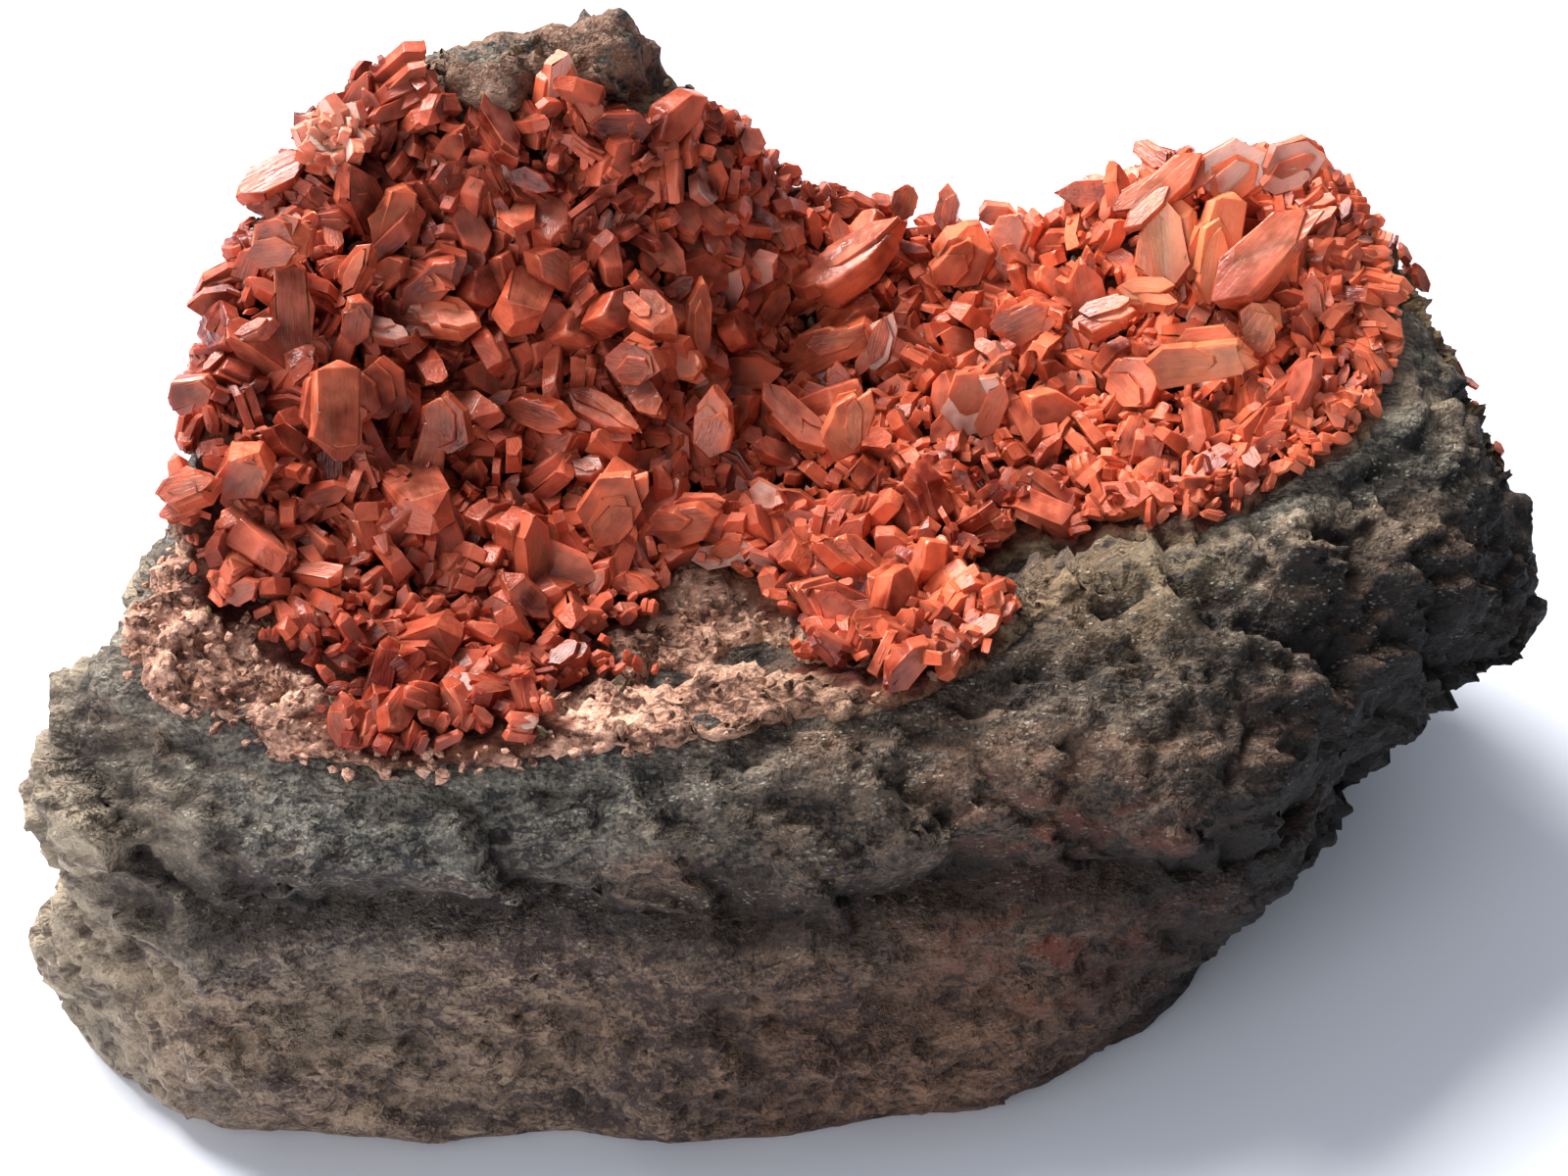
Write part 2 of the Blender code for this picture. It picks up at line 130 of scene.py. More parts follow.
class Net:
    """The nodes of one material, group or world, with short names for what they do most often."""

    def __init__(self, tree):
        self.tree = tree

    def put(self, kind, inputs=None, **settings):
        """Adds a node, sets its settings, and fills or links its inputs."""
        made = self.tree.nodes.new("ShaderNode" + kind)
        for name, value in settings.items():
            setattr(made, name, value)
        for socket, value in (inputs or {}).items():
            if isinstance(value, bpy.types.NodeSocket):
                self.link(value, made.inputs[socket])
            else:
                made.inputs[socket].default_value = value
        return made

    def link(self, output, socket):
        self.tree.links.new(output, socket)

    def mixed(self, share, first, second, way="MIX"):
        """A colour that goes from the first to the second."""
        first, second = ((*c, 1.0) if isinstance(c, tuple) and len(c) == 3 else c for c in (first, second))
        mix = self.put("Mix", {0: share, 6: first, 7: second}, data_type="RGBA", blend_type=way)
        return mix.outputs[2]

    def spread(self, value, low, high):
        """A value mapped so that low becomes 0 and high becomes 1."""
        return self.put("MapRange", {"Value": value, "From Min": low, "From Max": high}).outputs[0]

    def maths(self, operation, first, second):
        return self.put("Math", {0: first, 1: second}, operation=operation).outputs[0]

    def times(self, first, second):
        return self.maths("MULTIPLY", first, second)

    def plus(self, first, second):
        return self.maths("ADD", first, second)

    def minus(self, first, second):
        return self.maths("SUBTRACT", first, second)

    def larger(self, first, second):
        return self.maths("MAXIMUM", first, second)

    def vector(self, operation, first, second):
        """A sum on two directions or places."""
        made = self.put("VectorMath", {0: first, 1: second}, operation=operation)
        return made.outputs["Value" if operation in ("DISTANCE", "DOT_PRODUCT") else "Vector"]

    def noise(self, where, scale, detail, roughness=0.5, distortion=0.0):
        """Soft noise from 0 to 1."""
        inputs = {"Vector": where, "Scale": scale, "Detail": detail}
        inputs |= {"Roughness": roughness, "Distortion": distortion}
        return self.put("TexNoise", inputs).outputs["Fac"]

    def attribute(self, name):
        return self.put("Attribute", attribute_name=name).outputs["Fac"]

    def place(self):
        """The place on the object itself."""
        return self.put("TexCoord").outputs["Object"]

    def parts(self, vector):
        """The X, Y and Z of a direction or place."""
        return self.put("SeparateXYZ", {0: vector}).outputs

    def bump(self, height, depth, shader, strength=1.0):
        """Gives a shader a bumpy surface."""
        made = self.put("Bump", {"Height": height, "Strength": strength, "Distance": depth})
        self.link(made.outputs[0], shader.inputs["Normal"])


def new_material(name, **sockets):
    """A material with a Principled shader whose plain numbers are set on its own sockets."""
    material = bpy.data.materials.new(name)
    material.use_nodes = True
    shader = material.node_tree.nodes["Principled BSDF"]
    for socket, value in sockets.items():
        shader.inputs[socket.replace("_", " ")].default_value = value
    return material, Net(material.node_tree), shader


# %% Floor
def paper():
    material, net, shader = new_material("white_paper", Roughness=0.75)
    where = net.place()
    cloud = net.noise(where, 9.0, 3.0)
    colour = net.mixed(cloud, (0.80, 0.82, 0.90), (0.84, 0.855, 0.92))
    net.link(colour, shader.inputs["Base Color"])
    return material


bpy.ops.object.select_all(action="DESELECT")
bpy.ops.mesh.primitive_plane_add(size=20.0, location=(0, 0, 0))
floor = bpy.context.object
floor.name = "paper"
floor.data.materials.append(paper())


# %% Lights
def area_light(name, place, size, power, colour):
    """A square soft light that faces the stone."""
    light = bpy.data.lights.new(name, "AREA")
    light.size = size
    light.energy = power
    light.color = colour
    lamp = bpy.data.objects.new(name, light)
    scene.collection.objects.link(lamp)
    lamp.location = place
    lamp.rotation_euler = (AIM - Vector(place)).to_track_quat("-Z", "Y").to_euler()


area_light("window", (-0.46, 0.44, 0.78), 0.50, 23.5, (1.0, 0.985, 0.96))
area_light("room", (-0.65, -0.85, 0.50), 0.8, 6.5, (0.97, 0.98, 1.0))
world = bpy.data.worlds.new("room")
scene.world = world
world.use_nodes = True
sky = Net(world.node_tree)
direction = sky.put("TexCoord").outputs["Generated"]
to_window = sky.vector("DOT_PRODUCT", direction, (-0.62, 0.35, 0.70))
light = sky.mixed(sky.spread(to_window, -0.35, 0.95), (0.034, 0.035, 0.040), (0.58, 0.63, 0.70))
sky.link(light, sky.tree.nodes["Background"].inputs["Color"])

# %% [markdown]
# ## The basalt block
# Basalt breaks into rough lumps with many small tilted facets, and its skin is full of grains and pits. The
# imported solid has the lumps. A voxel remesh gives its surface even faces of about half a millimetre, and
# smoothing takes the solid's own facets off. Each point is then pushed in or out by a few heights that
# belong to cells of falling size, where every cell is a small plane with a tilt of its own. That leaves
# straight breaks and steps, as in stone, which soft noise alone never gives.

# %% Even skin for the block
def even_skin(piece, voxel, rounds):
    """Remeshes a piece to even faces of this size and smooths them this often."""
    shape_with(piece, "REMESH", mode="VOXEL", voxel_size=voxel)
    shape_with(piece, "SMOOTH", factor=0.5, iterations=rounds)
    print(piece.name, "has a skin of", len(piece.data.polygons), "faces")


stone = copy_of("basalt_matrix", "basalt_block")
even_skin(stone, 0.60 * MM, 14)
stone_tree = tree_of(nodes["basalt_matrix"])
lining_tree = tree_of(nodes["cavity_lining"])
crust_tree = tree_of(nodes["heulandite_crust"])
rim_distance = np.array([lining_tree.find_nearest(v.co)[3] for v in stone.data.vertices]) / MM


# %% How stone breaks
noise.seed_set(11)  # without a seed, noise_vector differs from run to run


def ramp(value, low, high):
    """0 at low, 1 at high, straight between; low may be the larger."""
    return min(max((value - low) / (high - low), 0.0), 1.0)


def broken(point, size, seed=0.0):
    """Height of a surface broken into tilted facets of about this size, between about -1 and 1."""
    spot = point / size + Vector((seed, 3.1 * seed, 7.7 * seed))
    spot += 0.13 * noise.noise_vector(spot * 2.6)
    middle = noise.voronoi(spot)[1][0]
    tilt = noise.cell_vector(middle * 9.7)
    return (spot - middle).dot(tilt) * 1.3 + (noise.cell(middle * 5.3 + Vector((40, 0, 0))) - 0.5) * 0.9


def crumbled(point, size, seed=0.0):
    """Soft lumps with deeper pits between them, between about -1 and 1."""
    spot = point / size + Vector((5.1 * seed, seed, 2.3 * seed))
    return 1.0 - 2.0 * abs(noise.fractal(spot, 1.0, 2.1, 3)) * 1.6


# %% Bosses, spurs and pits of this block
# each: middle (x, y, z), reach and height in mm; a negative height is a pit
BOSSES = [
    ((19, -5, 31), 6.0, 1.2), ((28, -6, 33), 5.0, 1.6), ((36, -3, 36), 5.5, 2.2), ((46, -2, 31), 8.0, 1.6),
    ((44, 8, 38), 4.0, 1.8), ((-21, 25, 56), 4.5, 1.8), ((-13, 25, 58), 4.5, 2.2),
    ((-42, -16, 33), 5.0, 1.8), ((-50, -14, 24), 6.0, 1.6), ((-38, -24, 12), 8.0, 1.6),
    ((20, -24, 14), 8.0, 1.4), ((30, -14, 22), 6.0, -2.2), ((38, -12, 12), 5.0, 1.6),
    ((36, -14, 18), 4.0, -1.6), ((24, -16, 27), 5.0, 1.2), ((-2, -22, 30), 5.0, 1.0),
    ((-20, -24, 30), 5.0, 1.2),
]
# where bare rock stands out through the crust: middle and reach in mm
OUTCROPS = [
    ((-21.5, 24.5, 57.0), 4.2), ((-17, 26, 57.5), 3.0), ((-11.5, 26.5, 58.5), 5.2), ((18, -2.5, 32), 3.8),
    ((23, -3.5, 33), 3.8), ((27.5, -4, 34.5), 2.8), ((34.5, 32, 47), 2.2), ((-2, -8, 29.5), 3.4),
    ((-8, -10, 29), 2.4), ((-1, -19.6, 29.6), 2.6), ((2.2, -19.6, 29.5), 2.8), ((5.2, -19.5, 29.3), 2.6),
]


def away(place, middle):
    """How far a place is from a middle that is given in mm, in mm."""
    return (place - Vector(middle) * MM).length / MM


def outcrop(place):
    """1 in the middle of an outcrop, 0 outside."""
    return max(ramp(away(place, middle), reach * 1.1, reach * 0.7) for middle, reach in OUTCROPS)


# %% Break the block's surface
LEDGE = 22.5  # height of the dark ledge that runs along the front, in mm


def ledge_height(p):
    """A lip with a dark groove under it, along the front."""
    over = p.z / MM - LEDGE - 2.4 * noise.noise(p / (18 * MM))
    lip = 1.3 * math.exp(-(((over - 4.0) / 3.0) ** 2)) - 2.0 * math.exp(-(((over + 1.2) / 1.9) ** 2))
    return lip * ramp(p.y / MM, -9.0, -17.0) * ramp(p.x / MM, -50.0, -36.0)


def stone_height(p, rim, bare_rock):
    """How far the stone stands out at this place, in mm."""
    fresh = ramp(rim, 16.0, 8.0)
    calm = ramp(p.z / MM, LEDGE + 3, LEDGE - 3) * ramp(p.y / MM, -6.0, -14.0)
    height = (0.95 - 0.6 * calm) * broken(p, 10 * MM) + (0.55 - 0.25 * calm) * broken(p, 4.2 * MM, 2)
    height += 0.30 * broken(p, 1.9 * MM, 4) + 1.1 * bare_rock
    height += 0.20 * crumbled(p, 2.6 * MM, 1) * (1.4 - fresh) + 0.07 * crumbled(p, 1.1 * MM, 5)
    height += ledge_height(p)
    for middle, reach, rise in BOSSES:
        share = away(p, middle) / reach
        if share < 1.0:
            height += rise * (1 - share * share) ** 2 * (1.0 + 0.4 * broken(p, 3.0 * MM, 8))
    return height


heights = np.zeros(len(stone.data.vertices))
for index, vertex in enumerate(stone.data.vertices):
    p = vertex.co.copy()
    bare_rock = outcrop(p)
    near_rim = max(ramp(rim_distance[index], 0.3, 1.6), bare_rock)
    if near_rim > 0.0 and p.z >= 0.2 * MM:
        height = stone_height(p, rim_distance[index], bare_rock)
        heights[index] = height * near_rim * ramp(p.z, 0.0, 3.0 * MM)
normals = [vertex.normal.copy() for vertex in stone.data.vertices]
for vertex, height, out in zip(stone.data.vertices, heights, normals):
    vertex.co += out * float(height) * MM
    vertex.co.z = max(vertex.co.z, 0.0)
print("stone stands out by", [round(float(v), 1) for v in (heights.min(), heights.max())], "mm")
set_attribute(stone.data, "rim_distance", rim_distance)
set_attribute(stone.data, "raised", heights)
smooth_shading(stone)
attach(stone, "root")
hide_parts("basalt_matrix")

# %% [markdown]
# ## Basalt's finish
# Fresh basalt near the hollow is a dark grey-green with thin bright crystals that sparkle. Lower down and on
# the left, weathering has turned it brown and tan, and dust lies on whatever faces up. The distance from
# the hollow's rim is stored on the mesh, so one material can go from the fresh band to the weathered
# foot. The grain itself is a node group, because the lining has the same grain in its own colours.


# %% A shared grain
def grain_group():
    """A group with the patches, blotches, specks, chips and height that every bare surface here shares."""
    tree = bpy.data.node_groups.new("mineral_grain", "ShaderNodeTree")
    tree.interface.new_socket("Grain Size", in_out="INPUT", socket_type="NodeSocketFloat")
    for name in ("Patches", "Blotches", "Dust", "Specks", "Chips", "Height"):
        tree.interface.new_socket(name, in_out="OUTPUT", socket_type="NodeSocketFloat")
    start, end = tree.nodes.new("NodeGroupInput"), tree.nodes.new("NodeGroupOutput")
    net = Net(tree)
    where = net.place()
    mapping = {"Vector": where, "Rotation": (0.3, 0.6, 0.5), "Scale": (0.7, 1.7, 1.3)}
    drawn_out = net.put("Mapping", mapping).outputs[0]
    fine = net.maths("DIVIDE", 1.0, start.outputs["Grain Size"])
    patches = net.noise(drawn_out, net.times(fine, 0.030), 3.0, 0.6, 0.6)
    blotches = net.noise(drawn_out, net.times(fine, 0.14), 4.0, 0.7)
    dust = net.noise(where, net.times(fine, 1.5), 2.0, 0.6)
    # chips: every cell is a small plane with a tilt of its own
    chips = []
    for share in (0.50, 1.6):
        size = net.times(fine, share)
        cell = net.put("TexVoronoi", {"Vector": drawn_out, "Scale": size, "Randomness": 1.0}).outputs
        from_middle = net.vector("SUBTRACT", drawn_out, cell["Position"])
        tilt = net.vector("SUBTRACT", cell["Color"], (0.5, 0.5, 0.5))
        chips.append(net.times(net.vector("DOT_PRODUCT", from_middle, tilt), size))
    # specks: some of the finer chips, in clusters
    chosen = net.put("SeparateColor", {0: cell["Color"]}).outputs[0]
    speck = net.times(net.spread(chosen, 0.76, 0.96), net.spread(cell["Distance"], 0.60, 0.40))
    specks = net.times(speck, net.spread(blotches, 0.46, 0.60))
    height = net.plus(net.plus(net.times(chips[0], 2.4), chips[1]), net.times(dust, 1.3))
    for output, socket in zip((patches, blotches, dust, specks, chips[0], height), end.inputs):
        net.link(output, socket)
    return tree


GRAIN = grain_group()

# %% Basalt's colours
# from the darkest to the palest of each kind of rock
FRESH = (0.024, 0.022, 0.022), (0.265, 0.240, 0.190)
BROWN = (0.075, 0.046, 0.039), (0.36, 0.245, 0.165)
OCHRE = (0.14, 0.10, 0.07), (0.46, 0.37, 0.26)
RUST, OLIVE, PEAK = (0.24, 0.070, 0.040), (0.30, 0.225, 0.125), (0.24, 0.115, 0.070)
PAINTED_HOLLOW_SHADE, WORN, DUST, FLAKE = (0.024, 0.017, 0.016), (0.34, 0.28, 0.21), (0.30, 0.24, 0.18), (0.50, 0.48, 0.41)
WHITE = (1, 1, 1)
STAIN_PLACE, OLIVE_PLACE = (0.020, -0.026, 0.021), (0.023, -0.005, 0.033)


# %% Basalt
def rock_kinds(net, grain, across, up):
    """Fresh rock by the hollow, brown rock lower down and ochre rock on the left, and where right begins."""
    patches, blotches = grain["Patches"], grain["Blotches"]
    wander = net.times(net.minus(patches, 0.5), 0.030)
    depth, side = net.plus(up, wander), net.plus(across, wander)
    fleck = net.plus(blotches, net.times(grain["Chips"], 0.45))
    fleck = net.plus(fleck, net.times(net.minus(grain["Dust"], 0.5), 0.7))
    mottle = net.plus(net.times(fleck, 0.6), net.times(patches, 0.4))
    fresh = net.mixed(net.spread(mottle, 0.39, 0.62), *FRESH)
    brown = net.mixed(net.spread(mottle, 0.41, 0.60), *BROWN)
    left = net.times(net.spread(side, -0.036, -0.050), net.spread(depth, 0.036, 0.028))
    right = net.spread(side, 0.018, 0.038)
    aged = net.times(net.larger(net.spread(depth, 0.024, 0.015), left), net.minus(1.0, right))
    tan = net.times(net.spread(patches, 0.52, 0.60), 0.7)
    colour = net.mixed(net.larger(aged, tan), fresh, brown)
    ochre = net.mixed(net.spread(blotches, 0.40, 0.52), *OCHRE)
    return net.mixed(net.times(left, 0.85), colour, ochre), side, right


def rock_tint_and_painted_shade(net, side, right, rim, up, facing):
    """A factor for the colour: browner past the middle, and painted shade low on the right, over rock that is
    darker there too.
    """
    shade = net.mixed(net.spread(side, -0.022, 0.000), WHITE, (0.56, 0.44, 0.39))
    ridge = net.times(right, net.spread(rim, 10.0, 3.0))
    shade = net.mixed(ridge, shade, (1.0, 0.98, 0.92))
    # painted shade where the right side faces down, also standing for its darker rock
    under = net.times(right, net.spread(facing[2], 0.85, 0.50))
    shade = net.mixed(under, shade, (0.070, 0.050, 0.045))
    # painted shade on front-facing stone low on the right
    front = net.times(net.spread(facing[1], 0.0, -0.35), net.spread(up, 0.038, 0.028))
    front = net.mixed(net.times(front, right), WHITE, (0.34, 0.28, 0.26))
    return net.mixed(1.0, shade, front, "MULTIPLY")


def basalt():
    material, net, shader = new_material("weathered_basalt", Specular_IOR_Level=0.4)
    grain = net.put("Group", {"Grain Size": 0.42 * MM}, node_tree=GRAIN).outputs
    where = net.place()
    across, _, up = net.parts(where)
    facing = net.parts(net.put("NewGeometry").outputs["Normal"])
    rim, raised = net.attribute("rim_distance"), net.attribute("raised")
    blotches = grain["Blotches"]
    colour, side, right = rock_kinds(net, grain, across, up)
    # iron has stained a place low on the right
    stain = net.spread(net.vector("DISTANCE", where, STAIN_PLACE), 0.014, 0.004)
    colour = net.mixed(net.times(stain, net.spread(blotches, 0.48, 0.58)), colour, RUST)
    # greenish clay has soaked into the ridge by the hollow's right front rim
    olive = net.spread(net.vector("DISTANCE", where, OLIVE_PLACE), 0.011, 0.004)
    olive = net.times(olive, net.spread(blotches, 0.40, 0.52))
    colour = net.mixed(net.times(olive, 0.8), colour, OLIVE)
    # painted shade darkens the hollows, worn heights are paler, and dust lies on what faces up
    colour = net.mixed(net.times(net.spread(raised, 0.1, -1.6), 0.8), colour, PAINTED_HOLLOW_SHADE)
    colour = net.mixed(net.times(net.spread(raised, 0.6, 2.2), 0.35), colour, WORN)
    dusty = net.spread(net.minus(grain["Patches"], 0.5), -0.10, 0.20)
    dust = net.times(net.spread(facing[2], 0.45, 0.95), dusty)
    colour = net.mixed(net.times(dust, 0.35), colour, DUST)
    colour = net.mixed(1.0, colour, rock_tint_and_painted_shade(net, side, right, rim, up, facing), "MULTIPLY")
    peak = net.times(net.spread(up, 0.048, 0.054), net.spread(blotches, 0.42, 0.52))
    colour = net.mixed(net.times(peak, 0.9), colour, PEAK)
    # sparkling flakes, most of them near the hollow
    near = net.plus(net.times(net.spread(rim, 18.0, 4.0), 0.70), 0.12)
    sparkle = net.times(grain["Specks"], near)
    colour = net.mixed(net.times(sparkle, 0.70), colour, FLAKE)
    net.link(colour, shader.inputs["Base Color"])
    net.link(net.minus(0.75, net.times(sparkle, 0.65)), shader.inputs["Roughness"])
    net.bump(grain["Height"], 0.22 * MM, shader)
    return material


stone.data.materials.append(basalt())

# %% [markdown]
# ## The crumbly lining
# Between the basalt and the crust lies a soft skin of pink-brown clay and fine zeolite. It shows where the
# crust has broken away: along the front, in a wedge in the middle, and as spots between the crystals. The
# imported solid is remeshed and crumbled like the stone, and its lower side is pushed into the stone, so
# that its edge meets the rock without a slit. Loose crumbs sit on it in their hundreds.

# %% Where the clay lies open
# places where the crust has broken off: middle and reach in mm
BARE_PLACES = [
    ((-44, -11, 37), 4.0), ((-41, -14, 36), 4.2), ((-37, -16, 35), 3.8), ((-33, -17, 34), 3.0),
    ((-7, 0, 29), 2.2), ((-5, -2, 29), 3.2), ((-7, -6, 29), 3.4), ((-10, -8, 29), 2.6), ((-2, -7, 29), 3.4),
    ((-13, -14, 30), 3.2), ((18, -1, 32), 2.4),
]


def laid_bare(place):
    """Whether the crust has broken off at this place."""
    reach = 1.0 + 0.5 * noise.noise(place / (2.5 * MM))
    return any(away(place, middle) < size * reach for middle, size in BARE_PLACES)


def nearest_in(points):
    """A tree that finds the nearest of these points."""
    tree = KDTree(len(points))
    for index, point in enumerate(points):
        tree.insert(point, index)
    tree.balance()
    return tree


# %% Crumble the lining
ON_TOP = 0.9 * MM  # the lining's top lies further than this from the solid stone
lining = copy_of("cavity_lining", "crumbly_lining")
even_skin(lining, 0.40 * MM, 10)
ground_mesh = lining.data.copy()
bare_tree = nearest_in([v.co for v, near in zip(stone.data.vertices, rim_distance) if 0.9 < near < 1.8])
covered = np.zeros(len(lining.data.vertices))
for index, vertex in enumerate(lining.data.vertices):
    nearest, out, _, above = stone_tree.find_nearest(vertex.co)
    rock = outcrop(vertex.co)
    if not laid_bare(vertex.co) and rock == 0.0:
        covered[index] = ramp(crust_tree.find_nearest(vertex.co)[3] / MM, 2.0, 1.2)
    if above < 0.8 * MM:
        vertex.co = nearest - out * 1.0 * MM
        continue
    p = vertex.co.copy()
    crumb = 0.70 * broken(p, 5.0 * MM, 1) + 0.45 * crumbled(p, 3.2 * MM, 2) + 0.32 * broken(p, 1.5 * MM, 3)
    from_bare = bare_tree.find(p)[2] / MM + 1.6 * noise.noise(p / (3.5 * MM))
    crumb = crumb * (1.0 - 0.5 * covered[index]) - 2.0 * ramp(from_bare, 2.6, 1.4) - 3.5 * rock
    vertex.co += out * float(crumb) * MM
set_attribute(lining.data, "covered", covered)
open_points = [v.co for v, share in zip(ground_mesh.vertices, covered) if share < 0.05]
open_points = [point for point in open_points if stone_tree.find_nearest(point)[3] > ON_TOP]
open_tree = nearest_in(open_points)
smooth_shading(lining)
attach(lining, "root")
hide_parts("cavity_lining")
print(len(open_points), "points of the lining lie open")


# %% Clay's finish
STAINED = (0.045, 0.032, 0.024), (0.26, 0.195, 0.11)
UNDER_CRUST = (0.060, 0.014, 0.010), (0.26, 0.105, 0.060)


def clay(name, dark, pale, speck):
    material, net, shader = new_material(name, Specular_IOR_Level=0.2, Roughness=0.95)
    grain = net.put("Group", {"Grain Size": 0.5 * MM}, node_tree=GRAIN).outputs
    blotches = grain["Blotches"]
    mottle = net.plus(net.times(blotches, 0.6), net.times(grain["Dust"], 0.4))
    colour = net.mixed(net.spread(mottle, 0.40, 0.62), dark, pale)
    colour = net.mixed(net.times(grain["Specks"], 0.7), colour, speck)
    # stained olive on the right and near the top
    across, _, up = net.parts(net.place())
    stained = net.mixed(net.spread(blotches, 0.38, 0.62), *STAINED)
    aside = net.larger(net.spread(across, -0.012, 0.016), net.spread(up, 0.042, 0.050))
    colour = net.mixed(net.times(aside, 0.85), colour, stained)
    # dark pits, partly painted shade where the bump sinks and partly dark grain, and red under the crystals
    pits = net.spread(net.plus(blotches, net.times(grain["Chips"], 0.6)), 0.44, 0.34)
    colour = net.mixed(net.times(pits, 0.8), colour, (0.050, 0.024, 0.018))
    red = net.mixed(net.spread(blotches, 0.42, 0.72), *UNDER_CRUST)
    net.link(net.mixed(net.attribute("covered"), colour, red), shader.inputs["Base Color"])
    net.bump(grain["Height"], 0.18 * MM, shader, 0.9)
    return material


PINK_CLAY = clay("pink_clay", (0.19, 0.078, 0.050), (0.80, 0.45, 0.32), (0.92, 0.76, 0.64))
OLIVE_CLAY = clay("olive_clay", (0.12, 0.085, 0.050), (0.36, 0.28, 0.17), (0.52, 0.44, 0.32))
lining.data.materials.append(PINK_CLAY)

# %% [markdown]
# ## Coffin-shaped crystals
# Heulandite grows as thick little tablets whose outline is that of an old coffin: widest just past the
# middle, cut off at a slant at both ends. A box cut by a few planes gives exactly such flat faces, which
# is also how a crystal is described in a book: as a set of faces, each at its own distance from the centre.
# A few such forms are cut once with the bisect tool, and every crystal of the crust is a copy of one.

# %% Cut the forms
# each form: width and thickness for a length of 1, then its faces as a normal (x, y, z) and a distance
FORMS = {
    "coffin": (0.52, 0.28, [
        (0.75, 0.66, 0, 0.36), (0.66, -0.75, 0, 0.32), (-0.70, 0.72, 0, 0.35), (-0.76, -0.65, 0, 0.38),
        (0.75, 0, 0.66, 0.41), (-0.80, 0, -0.60, 0.43),
    ]),
    "lancet": (0.44, 0.25, [
        (0.55, 0.83, 0, 0.28), (0.60, -0.80, 0, 0.30), (-0.60, 0.80, 0, 0.31), (-0.72, -0.70, 0, 0.36),
        (0.75, 0, 0.66, 0.40), (0.80, 0, -0.6, 0.43),
    ]),
    "block": (0.40, 0.30, [
        (0.90, 0.43, 0, 0.44), (0.80, -0.60, 0.1, 0.42), (-0.85, 0.52, 0, 0.42), (0.72, 0, 0.69, 0.40),
        (0, 0.71, 0.71, 0.23), (0, -0.66, 0.75, 0.23),
    ]),
    "stub": (0.56, 0.42, [
        (0.80, 0.60, 0.1, 0.40), (0.74, -0.66, 0.1, 0.38), (-0.76, 0.65, 0.1, 0.40),
        (0.62, 0.1, 0.78, 0.36), (0.1, -0.71, 0.70, 0.32), (-0.7, -0.7, 0.2, 0.38),
    ]),
    "blade": (0.38, 0.20, [
        (0.70, 0.71, 0, 0.34), (0.62, -0.78, 0, 0.30), (-0.70, 0.71, 0, 0.36), (0.78, 0, 0.62, 0.41),
        (0.85, 0, -0.52, 0.45), (-0.7, -0.7, 0, 0.35),
    ]),
    "plate": (0.56, 0.13, [
        (0.80, 0.60, 0, 0.39), (0.62, -0.78, 0, 0.34), (-0.72, 0.69, 0, 0.38), (-0.6, -0.8, 0, 0.36),
        (0.80, 0.1, 0.60, 0.43),
    ]),
    "lens": (0.54, 0.30, [
        (0.78, 0.62, 0.1, 0.37), (0.50, 0.86, 0.1, 0.29), (0.74, -0.66, 0, 0.36), (0.96, 0.1, 0.28, 0.45),
        (-0.7, 0.7, 0.1, 0.36), (-0.7, -0.7, 0.2, 0.36), (0.45, 0, 0.89, 0.22), (0.3, 0.5, -0.81, 0.24),
        (0, -0.6, 0.8, 0.24),
    ]),
}
EDGE = 0.030  # how wide the worn edge of a crystal is, for a length of 1


def is_narrow(face, mesh, edge):
    """Whether a face is one of the narrow strips that blunt an edge."""
    rim = sum((mesh.vertices[a].co - mesh.vertices[b].co).length for a, b in face.edge_keys)
    return face.area < 0.5 * rim * edge


def form_from(piece, half, broad, worn):
    """What copies of a finished form need; the object itself goes."""
    form = {
        "points": points_of(piece.data),
        "faces": [tuple(face.vertices) for face in piece.data.polygons],
        "broad": np.array(broad, float),
        "worn": np.array(worn, float),
        "half": np.array(half),
    }
    bpy.data.objects.remove(piece)
    return form


def cut_form(name, width, thickness, faces, edge):
    """One crystal of length 1 along X, cut out of a box, with its edges slightly blunted."""
    bpy.ops.object.select_all(action="DESELECT")
    bpy.ops.mesh.primitive_cube_add(size=1.0, scale=(1.0, width, thickness))
    crystal = bpy.context.object
    crystal.name = name
    bpy.ops.object.transform_apply(location=False, rotation=False, scale=True)
    bpy.ops.object.mode_set(mode="EDIT")
    for x, y, z, distance in faces:
        normal = Vector((x, y, z)).normalized()
        bpy.ops.mesh.select_all(action="SELECT")
        bpy.ops.mesh.bisect(plane_co=normal * distance, plane_no=normal, use_fill=True, clear_outer=True)
    bpy.ops.mesh.select_all(action="SELECT")
    bpy.ops.mesh.remove_doubles(threshold=0.004)
    bpy.ops.mesh.normals_make_consistent(inside=False)
    if edge:
        bpy.ops.mesh.bevel(offset=edge, segments=1, affect="EDGES", clamp_overlap=True)
    bpy.ops.object.mode_set(mode="OBJECT")
    broad = [abs(face.normal.z) > 0.9 for face in crystal.data.polygons]
    worn = [bool(edge) and is_narrow(face, crystal.data, edge) for face in crystal.data.polygons]
    return form_from(crystal, (0.5, width / 2, thickness / 2), broad, worn)


forms = {name: cut_form(name, *form, EDGE) for name, form in FORMS.items()}
plain_forms = {name: cut_form(name, *form, 0.0) for name, form in FORMS.items()}
print("faces per form:", {name: len(form["faces"]) for name, form in forms.items()})

# %% [markdown]
# ## The crust
# The crystals crowd each other, so their feet can't be seen, and they lean every way. Random places are
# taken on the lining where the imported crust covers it, and a place is kept only if it is far enough from
# the ones kept before. A crystal then gets a lean, a turn and a size, and many of them grow as sheaves: a
# few plates side by side that share one direction. Each copy is written into long arrays, because an object
# per crystal would be slow, and every array becomes one joined mesh.

# %% Places to grow
ground = bpy.data.objects.new("ground", ground_mesh)
scene.collection.objects.link(ground)
smooth_tree = tree_of(ground)


